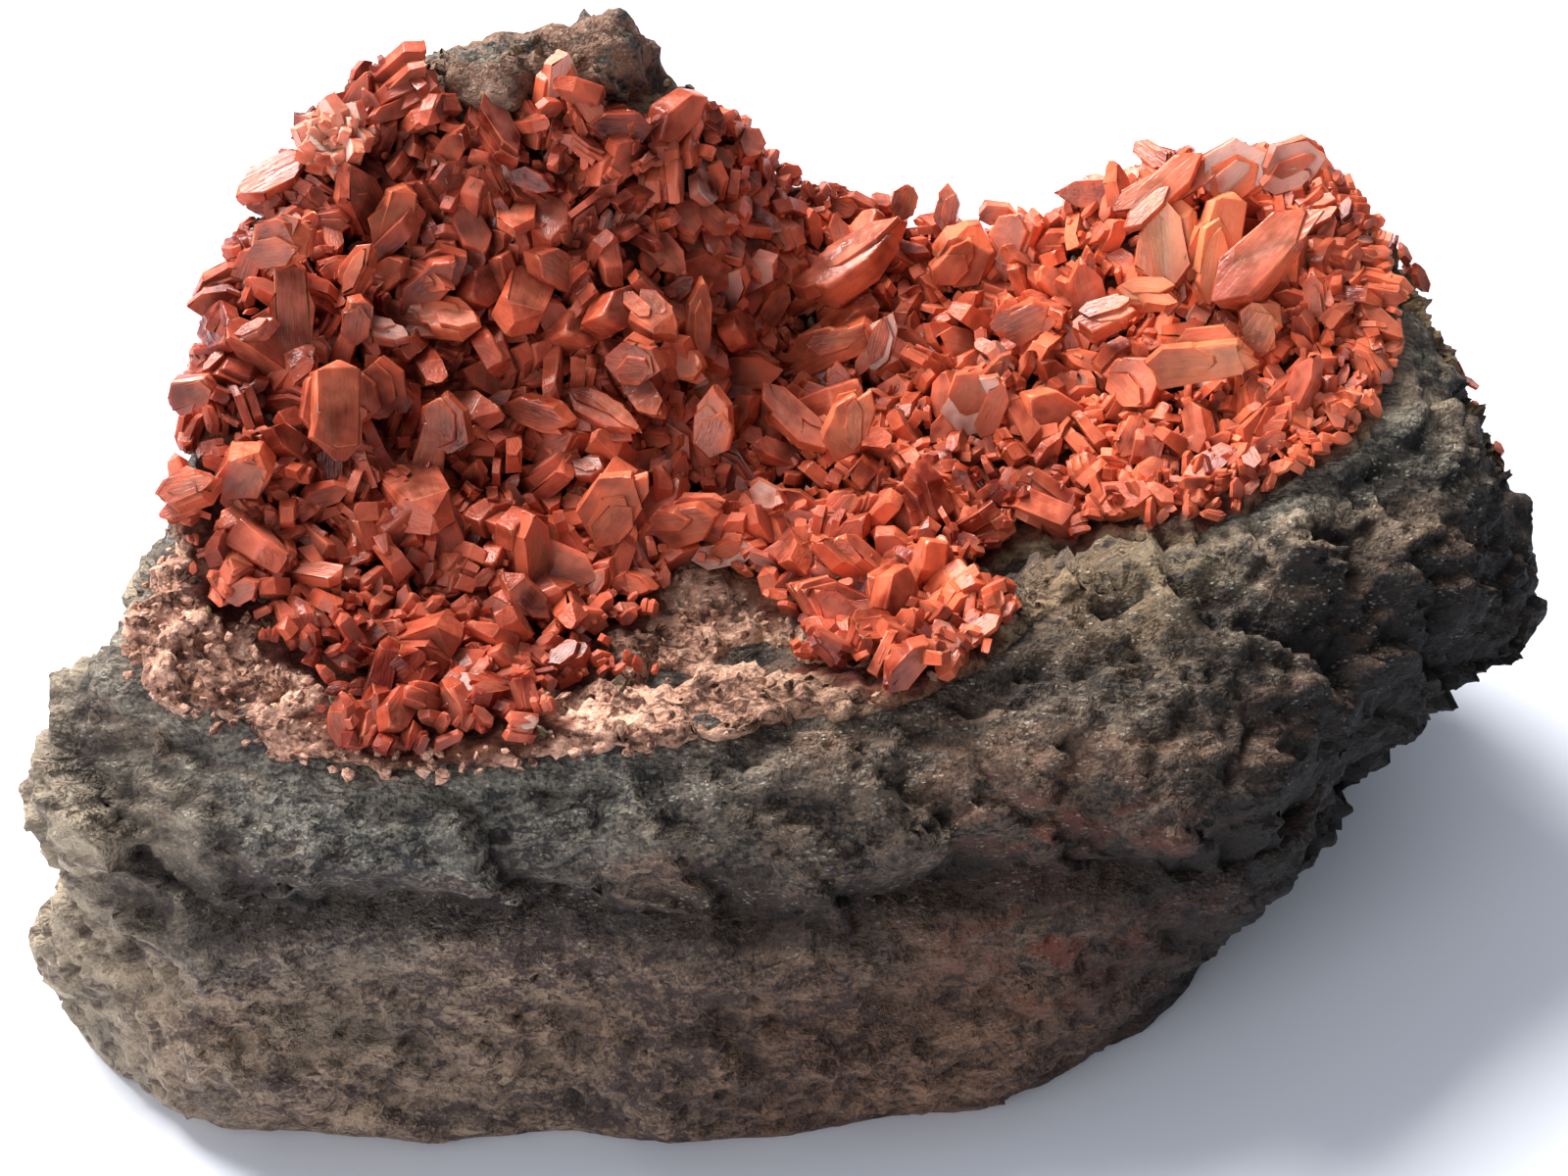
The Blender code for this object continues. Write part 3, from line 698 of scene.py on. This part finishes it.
def random_spots(mesh, count, seed):
    """Seeded random points spread evenly over a mesh."""
    mesh.calc_loop_triangles()
    corners = points_of(mesh)
    triangles = np.array([tuple(t.vertices) for t in mesh.loop_triangles])
    a, b, c = (corners[triangles[:, i]] for i in range(3))
    area = np.linalg.norm(np.cross(b - a, c - a), axis=1)
    numbers = np.random.default_rng(seed)
    chosen = numbers.choice(len(triangles), count, p=area / area.sum())
    u, v = numbers.random((2, count))
    flip = u + v > 1
    u[flip], v[flip] = 1 - u[flip], 1 - v[flip]
    return a[chosen] + (b - a)[chosen] * u[:, None] + (c - a)[chosen] * v[:, None]


def spaced(spots, spacing, wanted):
    """The spots that are wanted and no closer to each other than spacing (mm)."""
    taken, kept = {}, []
    around = [(x, y, z) for x in (-1, 0, 1) for y in (-1, 0, 1) for z in (-1, 0, 1)]
    for spot in spots:
        cell = tuple(np.floor(spot / MM / spacing).astype(int))
        near = [o for step in around for o in taken.get(tuple(c + d for c, d in zip(cell, step)), ())]
        if any(np.linalg.norm(spot - other) < spacing * MM for other in near) or not wanted(Vector(spot)):
            continue
        taken.setdefault(cell, []).append(spot)
        kept.append(Vector(spot))
    return kept


def is_bare(place):
    """Whether clay or rock lies open here."""
    return laid_bare(place) or outcrop(place) > 0.0


def under_crust(place):
    """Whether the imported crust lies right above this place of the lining."""
    _, out, _, above = stone_tree.find_nearest(place)
    if above < ON_TOP or is_bare(place):
        return False
    return crust_tree.ray_cast(place + out * 0.05 * MM, out, 3.0 * MM)[0] is not None


def open_clay(place):
    """Whether this place is on top of the lining and no crust covers it."""
    if place.x > -16 * MM and noise.cell(place / (0.8 * MM)) < 0.6:
        return False
    if place.x > 20 * MM or stone_tree.find_nearest(place)[3] < ON_TOP:
        return False
    return laid_bare(place) or crust_tree.find_nearest(place)[3] > 1.0 * MM


def smooth_normal(place):
    """The lining's outward direction, averaged over a few millimetres."""
    total = Vector()
    out = stone_tree.find_nearest(place)[1]
    for _, normal, _, _ in smooth_tree.find_nearest_range(place, 2.5 * MM):
        if normal.dot(out) > 0.2:
            total += normal
    return total.normalized() if total.length else out


# %% Gather many small shapes in one mesh
UNEVEN = 0.009  # how far a corner strays, for a crystal of length 1


def stand_up(up, lean, turn, roll):
    """The turn that lays a form's length at an angle of lean over the ground."""
    aside = (Vector((1, 0, 0)) - up * up.x).normalized()
    turned = Matrix((aside, up.cross(aside), up)).transposed()
    for angle, axis in ((turn, "Z"), (-lean, "Y"), (roll, "X")):
        turned = turned @ Matrix.Rotation(angle, 3, axis)
    return turned


class Druse:
    """Crystals or crumbs gathered in arrays until they become one mesh."""

    def __init__(self):
        self.points, self.faces, self.local, self.count = [], [], [], 0
        self.looks = {name: [] for name in ("tone", "warm_and_lit", "skin")}
        self.sides = {name: [] for name in ("broad", "facet_reflection", "worn")}
        self.numbers = np.random.default_rng(3)

    def add(self, form, turned, middle, sizes, tone=0.5, warm_and_lit=0.5, skin=0.0):
        """One copy: its turn, the place of its middle, its scale along its own three axes, and its looks."""
        points = form["points"].copy()
        taper, slant, skew = self.numbers.uniform((-0.05, -0.15, -0.2), (0.45, 0.15, 0.2))
        points[:, 1:] *= 1.0 - taper * (points[:, :1] + 0.2)
        points[:, 1] += slant * points[:, 0]
        points[:, 0] += skew * points[:, 2]
        points += self.numbers.normal(0.0, UNEVEN, points.shape)
        self.faces += [tuple(v + self.count for v in face) for face in form["faces"]]
        # each face's own brightness, a painted reflection
        facet_reflections = self.numbers.random(len(form["faces"]))
        for name, values in (("broad", form["broad"]), ("facet_reflection", facet_reflections), ("worn", form["worn"])):
            self.sides[name].append(values)
        for name, value in (("tone", tone), ("warm_and_lit", warm_and_lit), ("skin", skin)):
            self.looks[name] += [value] * len(points)
        self.points.append((points * np.array(sizes)) @ np.array(turned).T + np.array(middle))
        self.local.append(form["points"] / form["half"])
        self.count += len(points)

    def piece(self, name, material, node, slot, soft=False):
        """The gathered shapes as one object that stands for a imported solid."""
        mesh = bpy.data.meshes.new(name)
        mesh.from_pydata(np.concatenate(self.points).tolist(), [], self.faces)
        for attribute, values in self.looks.items():
            set_attribute(mesh, attribute, values)
        for attribute, values in self.sides.items():
            set_attribute(mesh, attribute, np.concatenate(values), "FACE")
        grown = mesh.attributes.new("along", "FLOAT_VECTOR", "POINT")
        grown.data.foreach_set("vector", np.concatenate(self.local).astype(np.float32).ravel())
        mesh.materials.append(material)
        made = bpy.data.objects.new(name, mesh)
        scene.collection.objects.link(made)
        if soft:
            # flat faces that run into each other over their worn edges
            smooth_shading(made)
            shape_with(made, "WEIGHTED_NORMAL", mode="FACE_AREA", weight=50)
        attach(made, "root")
        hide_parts(node)
        print(name, "has", sum(len(face) - 2 for face in self.faces), "triangles")
        return made


# %% Crumbs of clay
def crumb_form(seed):
    """A lump of about 1 across, pushed out of round."""
    bpy.ops.object.select_all(action="DESELECT")
    bpy.ops.mesh.primitive_ico_sphere_add(subdivisions=1, radius=0.5)
    lump = bpy.context.object
    for vertex in lump.data.vertices:
        vertex.co *= 1.0 + 0.9 * noise.noise(vertex.co * 4.0 + Vector((seed * 5.0, 0, 0)))
    plain = [False] * len(lump.data.polygons)
    return form_from(lump, (0.5, 0.5, 0.5), plain, plain)


chance = random.Random(7)
crumb_forms = [crumb_form(seed) for seed in range(4)]


def scatter_crumbs(name, spots, sizes, material):
    """Crumbs on these spots, half sunk in the clay."""
    crumbs = Druse()
    for spot in spots:
        up = stone_tree.find_nearest(spot)[1]
        size = chance.uniform(*sizes) * MM
        turned = stand_up(up, chance.uniform(-1, 1), chance.uniform(0, 6.28), chance.uniform(-1, 1))
        scale = [size * chance.uniform(0.5, 1.6) for _ in range(3)]
        crumbs.add(chance.choice(crumb_forms), turned, spot + up * size * 0.02, scale, chance.random())
    return crumbs.piece(name, material, "cavity_lining", "lining_clay")


spots = spaced(random_spots(ground_mesh, 30000, 5), 0.75, open_clay)
scatter_crumbs("clay_crumbs", spots, (0.35, 0.9), PINK_CLAY)

# %% [markdown]
# ## Heulandite's finish
# The crystals are translucent: light goes in, scatters on fine red iron oxide and comes out again, so the
# shader has some subsurface scattering. The middle of a crystal is hazy and mauve-brown, and its thin edges
# are painted a lighter orange-red, a painted glow. Broad faces have a pearly film, partly a painted sheen,
# the others are glassy with fine lines along the crystal. Every crystal carries its own tone and every facet
# its own brightness, a painted reflection, as attributes on the mesh, so one material serves the whole crust.


# %% Heulandite's colours
# on the dark wall and on the bright slope, the wall darker partly as painted shade: the hazy middle of a
# crystal and its edge, painted lighter as a glow of light through it
HAZE = (0.34, 0.044, 0.026), (0.68, 0.130, 0.065)
PAINTED_EDGE_GLOW = (0.55, 0.043, 0.016), (0.87, 0.125, 0.038)
# middle and edge of the amber ones
AMBER = (0.80, 0.29, 0.15), (0.87, 0.21, 0.075)
DEEPENED, LIGHTENED = (0.24, 0.16, 0.17), (0.95, 0.40, 0.22)
MAUVE, PEARL = (0.44, 0.125, 0.105), (0.88, 0.62, 0.52)
PAINTED_EDGE_HIGHLIGHT, PAINTED_FOOT_SHADE = (0.95, 0.36, 0.18), (0.12, 0.013, 0.008)


# %% Heulandite
def heulandite():
    material, net, shader = new_material(
        "red_heulandite", Subsurface_Weight=0.34, Subsurface_Scale=0.8 * MM,
        Subsurface_Radius=(1.0, 0.22, 0.10), IOR=1.5, Specular_IOR_Level=0.36,
    )
    names = ("tone", "warm_and_lit", "skin", "broad", "facet_reflection", "worn")
    tone, warm_and_lit, skin, broad, facet_reflection, worn = (net.attribute(name) for name in names)
    along = net.put("Attribute", attribute_name="along").outputs["Vector"]
    where = net.place()
    cloud = net.noise(where, 360.0, 2.0, 0.6)
    wisp = net.times(net.minus(cloud, 0.5), 1.25)
    # growth lines run the length of a crystal, in another place on each
    own = net.put("CombineXYZ", {0: net.times(tone, 37.0), 2: warm_and_lit}).outputs[0]
    drawn_out = net.vector("ADD", net.vector("MULTIPLY", along, (1.3, 5.0, 5.0)), own)
    lines = net.noise(drawn_out, 1.0, 2.0, 0.6)
    # painted glow: thin edges and side faces lighter than the hazy middle, as if light shone through them
    length, width, _ = net.parts(net.put("VectorMath", {0: along}, operation="ABSOLUTE").outputs[0])
    edge = net.larger(net.times(length, 0.95), width)
    edge = net.spread(net.plus(edge, net.times(wisp, 1.4)), 0.45, 1.0)
    edge = net.larger(edge, net.minus(1.0, broad))
    colour = net.mixed(edge, net.mixed(warm_and_lit, *HAZE), net.mixed(warm_and_lit, *PAINTED_EDGE_GLOW))
    colour = net.mixed(net.spread(warm_and_lit, 1.0, 1.4), colour, net.mixed(edge, *AMBER))
    # every crystal a little lighter or darker, every facet too as a painted reflection, with streaks
    share = net.plus(net.times(tone, 0.65), net.times(facet_reflection, 0.35))
    for value, weight in ((wisp, 2.3), (net.minus(lines, 0.5), 0.45), (net.spread(warm_and_lit, 0.95, 1.3), 0.30)):
        share = net.plus(share, net.times(value, weight))
    deep = net.mixed(1.0, colour, DEEPENED, "MULTIPLY")
    colour = net.mixed(net.spread(share, -0.35, 0.95), deep, net.mixed(0.25, colour, LIGHTENED))
    # the mauve film of broad faces, partly a painted pearly sheen, and the pearly white of a few: paler
    # crystals, with painted sheen strongest on their broad faces
    film_and_sheen = net.times(net.times(broad, net.spread(skin, 0.3, 1.0)), net.spread(cloud, 0.36, 0.62))
    colour = net.mixed(net.times(film_and_sheen, 0.30), colour, MAUVE)
    pearl = net.times(net.spread(skin, 1.0, 1.8), net.spread(cloud, 0.28, 0.50))
    pearl = net.times(pearl, net.plus(net.times(broad, 0.7), 0.2))
    colour = net.mixed(pearl, colour, PEARL)
    # painted highlight on the thin worn edges, and painted shade at the foot
    colour = net.mixed(net.times(worn, 0.20), colour, PAINTED_EDGE_HIGHLIGHT)
    # painted shade: darker toward each crystal's foot
    foot_shade = net.spread(net.parts(along)[0], 0.2, -0.8)
    colour = net.mixed(net.times(foot_shade, 0.5), colour, PAINTED_FOOT_SHADE)
    net.link(colour, shader.inputs["Base Color"])
    # uneven, finely lined faces
    height = net.plus(net.times(lines, 0.5), net.times(net.noise(where, 1500.0, 2.0), 0.7))
    net.bump(height, 0.11 * MM, shader)
    rough = net.plus(net.times(broad, 0.06), 0.13)
    rough = net.plus(rough, net.times(net.spread(cloud, 0.40, 0.65), 0.25))
    net.link(rough, shader.inputs["Roughness"])
    return material


RED = heulandite()

# %% Large crystals, one by one
# form, middle (x, y, z) in mm, turn about the upright, lean over the level and roll about its own length in
# degrees, length, width and thickness in mm, then tone, warmth with painted light and shade, and skin
# (0 glassy, 1 mauve, 2 pearly)
LARGE = """
block   -30.4 -1.6 45.6  94 60 17    5.9 3.1 2.4   0.55 0.45 0.2
lens    -34.2 7.2 53.1   1 25 67     4.5 3.4 2.0   0.6 0.5 0.3
lens    -23.9 10.1 44.9  -14 -1 24   4.4 3.0 1.2   0.7 0.9 0.4
block   -27.8 14.4 51.0  81 65 32    4.1 2.4 1.4   0.6 0.6 0.2
lancet  -25.7 11.6 47.5  -36 -9 71   5.1 1.7 1.0   0.35 0.3 0.5
lancet  -30.0 9.7 49.0   27 56 22    4.1 1.7 1.2   0.5 0.5 0.2
coffin  -27.9 7.0 45.5   -12 -6 19   3.2 1.5 1.2   0.5 0.1 1.3
coffin  -36.3 3.6 47.9   17 19 7     3.5 1.2 1.1   0.6 0.2 1.5
block   -34.3 6.2 48.4   90 55 15    6.8 2.3 1.6   0.45 0.3 0.9
block   -30.0 7.2 46.8   46 70 66    3.2 1.9 1.5   0.6 0.3 0.5
lancet  -23.6 2.9 40.9   85 70 -6    4.4 2.8 1.4   0.4 0.35 0.2
stub    -36.5 -4.6 42.2  13 64 80    4.0 3.1 2.4   0.7 0.5 0.9
lens    -39.5 -7.2 42.6  2 18 31     4.2 2.4 1.9   0.6 0.4 0.8
block   -40.1 -0.6 46.2  -6 8 76     3.1 1.9 1.5   0.4 0.2 0.7
plate   -28.3 3.9 43.2   116 68 -21  4.3 3.6 1.1   0.35 0.3 0.3
coffin  5.4 24.1 40.6    8 30 8      8.5 3.8 2.7   0.6 0.6 0.6
lancet  -6.4 15.0 41.9   72 64 34    5.9 1.8 1.5   0.75 0.9 0.2
lens    -9.4 11.1 44.2   -44 -15 16  4.5 3.0 1.5   0.5 0.6 0.3
stub    -7.3 12.6 39.2   -19 9 61    3.0 2.2 1.3   0.7 0.9 0.2
plate   -10.6 7.7 42.7   -23 -4 72   4.2 3.0 1.2   0.45 0.5 0.6
blade   -10.1 9.1 38.5   -51 -14 32  4.3 1.7 1.2   0.5 0.5 0.3
lancet  -5.1 9.1 36.9    81 65 -8    4.8 2.6 1.3   0.7 0.9 0.0
block   4.4 20.4 35.9    -4 19 82    6.2 2.5 2.0   0.6 0.9 0.1
coffin  1.1 10.9 34.8    -47 -24 13  6.3 2.5 1.5   0.5 0.5 0.9
coffin  4.5 8.3 36.7     58 62 35    5.4 3.0 1.2   0.85 1.1 0.0
coffin  -17.6 6.6 39.1   -20 -1 78   5.4 2.1 1.5   0.6 0.4 0.7
coffin  -13.2 7.3 38.5   -31 -12 18  6.1 2.3 0.9   0.35 0.3 0.8
coffin  -6.8 1.6 33.0    -11 19 78   5.1 3.0 2.1   0.6 0.5 0.9
coffin  -14.1 4.3 35.6   -22 5 29    2.4 1.7 1.2   0.5 0.2 1.2
stub    -1.1 4.3 33.1    -35 5 56    2.8 2.0 1.0   0.8 0.5 1.4
plate   7.4 19.7 36.4    44 64 26    4.2 2.1 0.7   0.9 0.6 2.0
plate   -12.3 0.7 35.2   29 57 60    5.5 4.1 1.2   0.75 0.8 0.1
lens    14.6 28.7 39.1   29 57 60    5.5 4.4 3.1   0.8 1.0 0.0
block   18.5 29.1 40.0   64 68 1     4.2 3.5 2.8   0.75 1.0 0.1
stub    17.1 30.6 41.6   -8 6 80     3.0 1.7 1.2   0.95 1.0 1.2
lens    29.2 21.1 44.8   100 55 -20  7.8 4.8 2.1   0.95 1.35 0.5
block   32.8 20.4 45.5   78 60 27    6.9 3.1 2.2   1.0 1.45 0.5
coffin  35.5 16.4 46.2   22 38 21    10.1 3.9 2.9  0.75 0.7 1.0
coffin  18.5 17.7 39.8   -5 26 74    4.1 2.7 1.9   0.7 1.0 0.1
coffin  24.6 17.5 40.3   -8 22 29    4.8 2.7 1.9   0.75 1.0 0.2
lens    27.5 18.1 41.7   -13 0 29    4.8 2.2 1.8   0.85 1.3 0.3
plate   14.5 11.5 36.4   25 71 53    5.4 4.3 1.1   1.0 0.7 2.0
blade   15.8 13.0 38.4   29 51 54    3.8 1.2 1.1   0.45 0.6 0.3
plate   34.0 24.1 49.2   16 33 58    5.0 3.9 1.2   1.1 1.0 1.8
coffin  28.9 23.0 48.3   23 32 25    7.7 2.5 1.3   0.75 1.0 1.0
coffin  26.7 12.9 37.2   -61 -19 44  4.7 3.2 1.6   0.6 0.7 0.8
block   30.7 10.4 41.0   -7 23 74    7.0 2.9 1.7   0.9 1.25 0.3
lens    35.5 14.1 42.1   10 43 53    3.6 3.2 2.2   0.85 1.2 0.1
lancet  9.5 30.3 42.8    54 55 37    2.9 2.0 1.2   0.6 0.7 0.1
lancet  13.3 33.2 40.3   80 60 -2    3.4 1.9 1.3   0.7 0.8 0.3
plate   38.2 23.0 50.4   9 18 69     4.4 3.2 1.3   0.95 0.8 1.5
plate   -16.5 23.2 56.6  60 62 70    4.8 2.4 1.2   1.2 0.8 1.9
"""
BESIDE = ["blade", "coffin", "lancet", "plate"]
large = Druse()
bundles = random.Random(5)
large_places = []
for row in LARGE.strip().splitlines():
    kind, *numbers = row.split()
    x, y, z, turn, lean, roll, *size, tone, warm_and_lit, skin = map(float, numbers)
    middle = Vector((x, y, z))
    turned = stand_up(Vector((0, 0, 1)), math.radians(lean), math.radians(turn), math.radians(roll))
    sizes = [wanted * MM / (2 * half) for wanted, half in zip(size, forms[kind]["half"])]
    large.add(forms[kind], turned, middle * MM, sizes, tone, warm_and_lit, skin)
    # thin plates grown on its sides
    for side in (-1, 1, 1):
        shift = [bundles.uniform(-0.3, 0.2), bundles.uniform(-0.34, 0.34), side * bundles.uniform(0.22, 0.50)]
        shift = Vector([full * share for full, share in zip(size, shift)])
        beside = [full * bundles.uniform(0.60, 0.95) * share for full, share in zip(sizes, (1.0, 0.9, 0.7))]
        spin, tip = (Matrix.Rotation(bundles.uniform(-0.2, 0.2), 3, axis) for axis in "ZX")
        form = forms[bundles.choice(BESIDE)]
        looks = tone + bundles.uniform(-0.2, 0.2), warm_and_lit, skin * bundles.random()
        large.add(form, turned @ spin @ tip, (middle + turned @ shift) * MM, beside, *looks)
    along = turned @ Vector((1, 0, 0)) * size[0] * 0.3 * MM
    for share in (-1, 0, 1):
        large_places.append((middle * MM + along * share, (size[1] * 0.5 + 0.9) * MM))
large.piece("large_crystals", RED, "heulandite_crust", "heulandite", True)


def clear_of_large(place):
    """Whether the large crystals leave this place free."""
    return all((place - other).length > reach for other, reach in large_places)


# %% A pale rosette high on the left
rosette = Druse()
ROSETTE_PLACE, ROSETTE_UP = Vector((-32.0, 18.5, 54.0)) * MM, Vector((-0.35, -0.55, 0.75)).normalized()
for number in range(26):
    turn = number * 2.4
    lean = math.radians(20 + 65 * (number / 26))
    turned = stand_up(ROSETTE_UP, lean, turn, bundles.uniform(-0.5, 0.5))
    long = bundles.uniform(3.2, 4.6) * MM
    middle = ROSETTE_PLACE + turned @ Vector((long * 0.42, 0, 0))
    sizes = (long, long * 1.3, long * 1.3)
    rosette.add(forms["blade"], turned, middle, sizes, 1.0 + 0.4 * bundles.random(), 0.9, 1.9)
rosette.piece("pale_rosette", RED, "heulandite_crust", "heulandite", True)
large_places.append((ROSETTE_PLACE, 4.0 * MM))

# %% Grow the crust
# forms to draw from: near the left front, in sheaves, and everywhere else
BLUNT = ["stub", "lens", "lens", "block", "coffin", "coffin"]
PLATY = ["blade", "blade", "coffin", "lancet", "plate"]
KINDS = ["coffin"] * 3 + ["lancet"] * 3 + ["block", "stub", "blade", "blade", "plate", "lens"]


SHORTER, THINNER = 0.85, 0.72  # for blunt and low crystals, and for thick forms


def crust_edge(place):
    """How far a place is from bare stone, in mm: small near the crust's border."""
    return bare_tree.find(place)[2] / MM


# how much lighter or darker the crystals are around these places, partly their own tone and partly painted
# light and shade: middle, reach in mm and change of tone
TONES_AND_PAINTED_LIGHT = [
    ((-28, -18, 31), 8.0, -0.6), ((-34, -7, 37), 9.0, 0.85), ((-12, 3, 31), 11.0, 0.95),
    ((18, 2, 33), 10.0, -0.9), ((30, 1, 36), 8.0, -0.6), ((4, -8, 31), 7.0, -0.6),
    ((-22, 18, 48), 16.0, -0.15),
]


def tone_and_light_shift(place):
    """The sum of what the places of tone and painted light add here."""
    return sum(change * ramp(away(place, middle), reach, reach * 0.4) for middle, reach, change in TONES_AND_PAINTED_LIGHT)


def warmth_and_light(place):
    """0 on the dark left wall to 1 on the bright right slope: redder to more orange, and painted shade on the
    wall.
    """
    return ramp(place.x / MM + 9.0 * noise.noise(place / (8 * MM)), -18.0, 24.0)


def grow(name, spots, lengths, shapes, sheaves, rise):
    """Crystals on these spots; sheaves is the share of them that grow as a few plates side by side."""
    druse = Druse()
    for place in spots:
        up, warm_and_lit = smooth_normal(place), warmth_and_light(place)
        sheaf = chance.choice((2, 3, 3, 4)) if chance.random() < sheaves else 1
        fan = chance.uniform(-0.16, 0.16)
        # neighbours grow in much the same direction
        turn = 2 * math.pi * noise.noise(place / (7 * MM))
        turn = turn + chance.gauss(0, 0.8) + chance.choice((0, math.pi))
        lean = math.radians(chance.triangular(0, 70, 32 - 12 * warm_and_lit))
        roll = chance.uniform(-1.5, 1.5)
        blunt = place.x < -8 * MM and place.y < -3 * MM
        kind = chance.choice(BLUNT if blunt else KINDS if sheaf == 1 else PLATY)
        # shorter on the bright slope, and most of all by its front rim
        fine = 0.3 * ramp(crust_edge(place), 6.0, 2.5) * ramp(place.x / MM, 8.0, 18.0)
        fine *= ramp(place.y / MM, 16.0, 8.0)
        length = chance.triangular(lengths[0], lengths[1], lengths[0]) * (1.08 - 0.16 * warm_and_lit - fine) * MM
        tone = chance.random() + tone_and_light_shift(place)
        skin = chance.uniform(1.1, 1.7) if chance.random() < 0.025 else chance.random() ** 1.5
        if blunt:
            length *= SHORTER
        if crust_edge(place) < 5.0 and (place.y > 8 * MM or place.x < -30 * MM):
            # low over the crust's border at the back and on the left
            length, lean = length * SHORTER, lean * 0.5
        for number in range(sheaf):
            long = length * (1.0 if number == 0 else chance.uniform(0.65, 1.0))
            thickness = chance.uniform(0.85, 1.45)
            if kind in ("block", "stub"):
                thickness *= THINNER
            sizes = (long, long * chance.uniform(0.8, 1.15), long * thickness)
            from_middle = number - (sheaf - 1) / 2
            turned = stand_up(up, lean + fan * from_middle, turn + chance.uniform(-0.12, 0.12), roll)
            thick = shapes[kind]["half"][2] * 2 * sizes[2]
            across = turned @ Vector((chance.uniform(-0.1, 0.1) * long, 0, thick * 0.7 * from_middle))
            above = long * 0.5 * math.sin(lean) + thick * 0.4 * math.cos(lean) + rise * MM
            middle = place + across + up * above
            near = tone + chance.uniform(-0.15, 0.15)
            druse.add(shapes[kind], turned, middle, sizes, near, warm_and_lit, skin)
    return druse.piece(name, RED, "heulandite_crust", "heulandite", shapes is forms)


def well_inside(place, least):
    """Whether open clay lies at least this far off, in mm; at the back crystals may lean over the rim."""
    if place.x > 16 * MM:
        return open_tree.find(place)[2] > 0.7 * least * MM
    return place.y > 2 * MM or open_tree.find(place)[2] > least * MM


def gap(place):
    """Spots where the clay shows between the crystals."""
    return noise.noise(place / (3.4 * MM) + Vector((9, 4, 2))) > 0.40


def crowded(place):
    """Whether crystals stand close together here."""
    return under_crust(place) and not gap(place)


def has_room(place):
    """Whether a long crystal may grow here."""
    return crowded(place) and clear_of_large(place) and well_inside(place, 2.4)


covered_spots = random_spots(ground_mesh, 80000, 7)
spots = spaced(covered_spots[:25000], 2.05, has_room)
grow("long_crystals", spots, (3.4, 7.0), forms, 0.5, 0.0)
spots = spaced(covered_spots[25000:45000], 1.5, lambda place: crowded(place) and well_inside(place, 1.3))
grow("middling_crystals", spots, (2.1, 4.2), plain_forms, 0.5, 0.6)
spots = spaced(covered_spots[45000:], 1.15, crowded)
grow("small_crystals", spots, (1.1, 2.3), plain_forms, 0.3, 0.9)


def right_rim(place):
    """The strip along the hollow's right front rim, where fine crystals mat together."""
    above = stone_tree.find_nearest(place)[3]
    if above < 0.5 * MM or place.x < 11 * MM or crust_edge(place) > 5.5 or is_bare(place):
        return False
    return crust_tree.find_nearest(place)[3] < 1.5 * MM and open_tree.find(place)[2] > 0.5 * MM


spots = spaced(random_spots(ground_mesh, 40000, 11), 0.9, right_rim)
grow("rim_crystals", spots, (1.8, 4.4), plain_forms, 0.5, 0.0)
spots = spaced(random_spots(ground_mesh, 20000, 8), 0.8, lambda place: under_crust(place) and gap(place))
scatter_crumbs("wall_crumbs", spots, (0.5, 1.3), OLIVE_CLAY)

# %% [markdown]
# ## The patch on the outer wall
# On the outer wall at the right a vein has opened and left a rusty, red-brown skin with small crystals. The
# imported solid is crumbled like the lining, pushed into the wall along its border, and set with plates.

# %% The patch
patch = copy_of("side_crust", "rusty_skin")
even_skin(patch, 0.40 * MM, 8)
patch_ground = patch.data.copy()
for vertex in patch.data.vertices:
    nearest, out, _, above = stone_tree.find_nearest(vertex.co)
    if above < ON_TOP:
        vertex.co = nearest - out * 1.2 * MM
        continue
    crumb = 0.9 * broken(vertex.co, 3.0 * MM, 6) + 0.6 * crumbled(vertex.co, 2.0 * MM, 7) - 0.4
    vertex.co += out * crumb * MM
set_attribute(patch.data, "covered", [0.0] * len(patch.data.vertices))
RUSTY_CLAY = clay("rusty_clay", (0.055, 0.022, 0.016), (0.26, 0.095, 0.06), (0.42, 0.20, 0.13))
patch.data.materials.append(RUSTY_CLAY)
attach(patch, "root")
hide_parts("side_crust")
plates = Druse()
spots = random_spots(patch_ground, 6000, 9)
for place in spaced(spots, 1.7, lambda place: stone_tree.find_nearest(place)[3] > 1.1 * MM):
    if noise.noise(place / (5 * MM)) < -0.05:
        continue
    # shorter and flatter at the far end, so that none stands out past the solids
    longest, steepest = (3.2, 30) if place.x < 50 * MM else (2.2, 15)
    long = chance.uniform(1.4, longest) * MM
    lean = math.radians(chance.uniform(5, steepest))
    up = stone_tree.find_nearest(place)[1]
    turned = stand_up(up, lean, chance.uniform(0, 6.28), chance.uniform(-1, 1))
    middle = place + up * (long * 0.35 * math.sin(lean) - 0.25 * MM)
    form, tone = forms[chance.choice(KINDS)], 0.5 * chance.random()
    plates.add(form, turned, middle, (long, long, long), tone, 0.2, chance.random())
plates.piece("wall_plates", RED, "side_crust", "heulandite")

# %% Remove the helper ground
bpy.data.objects.remove(ground)
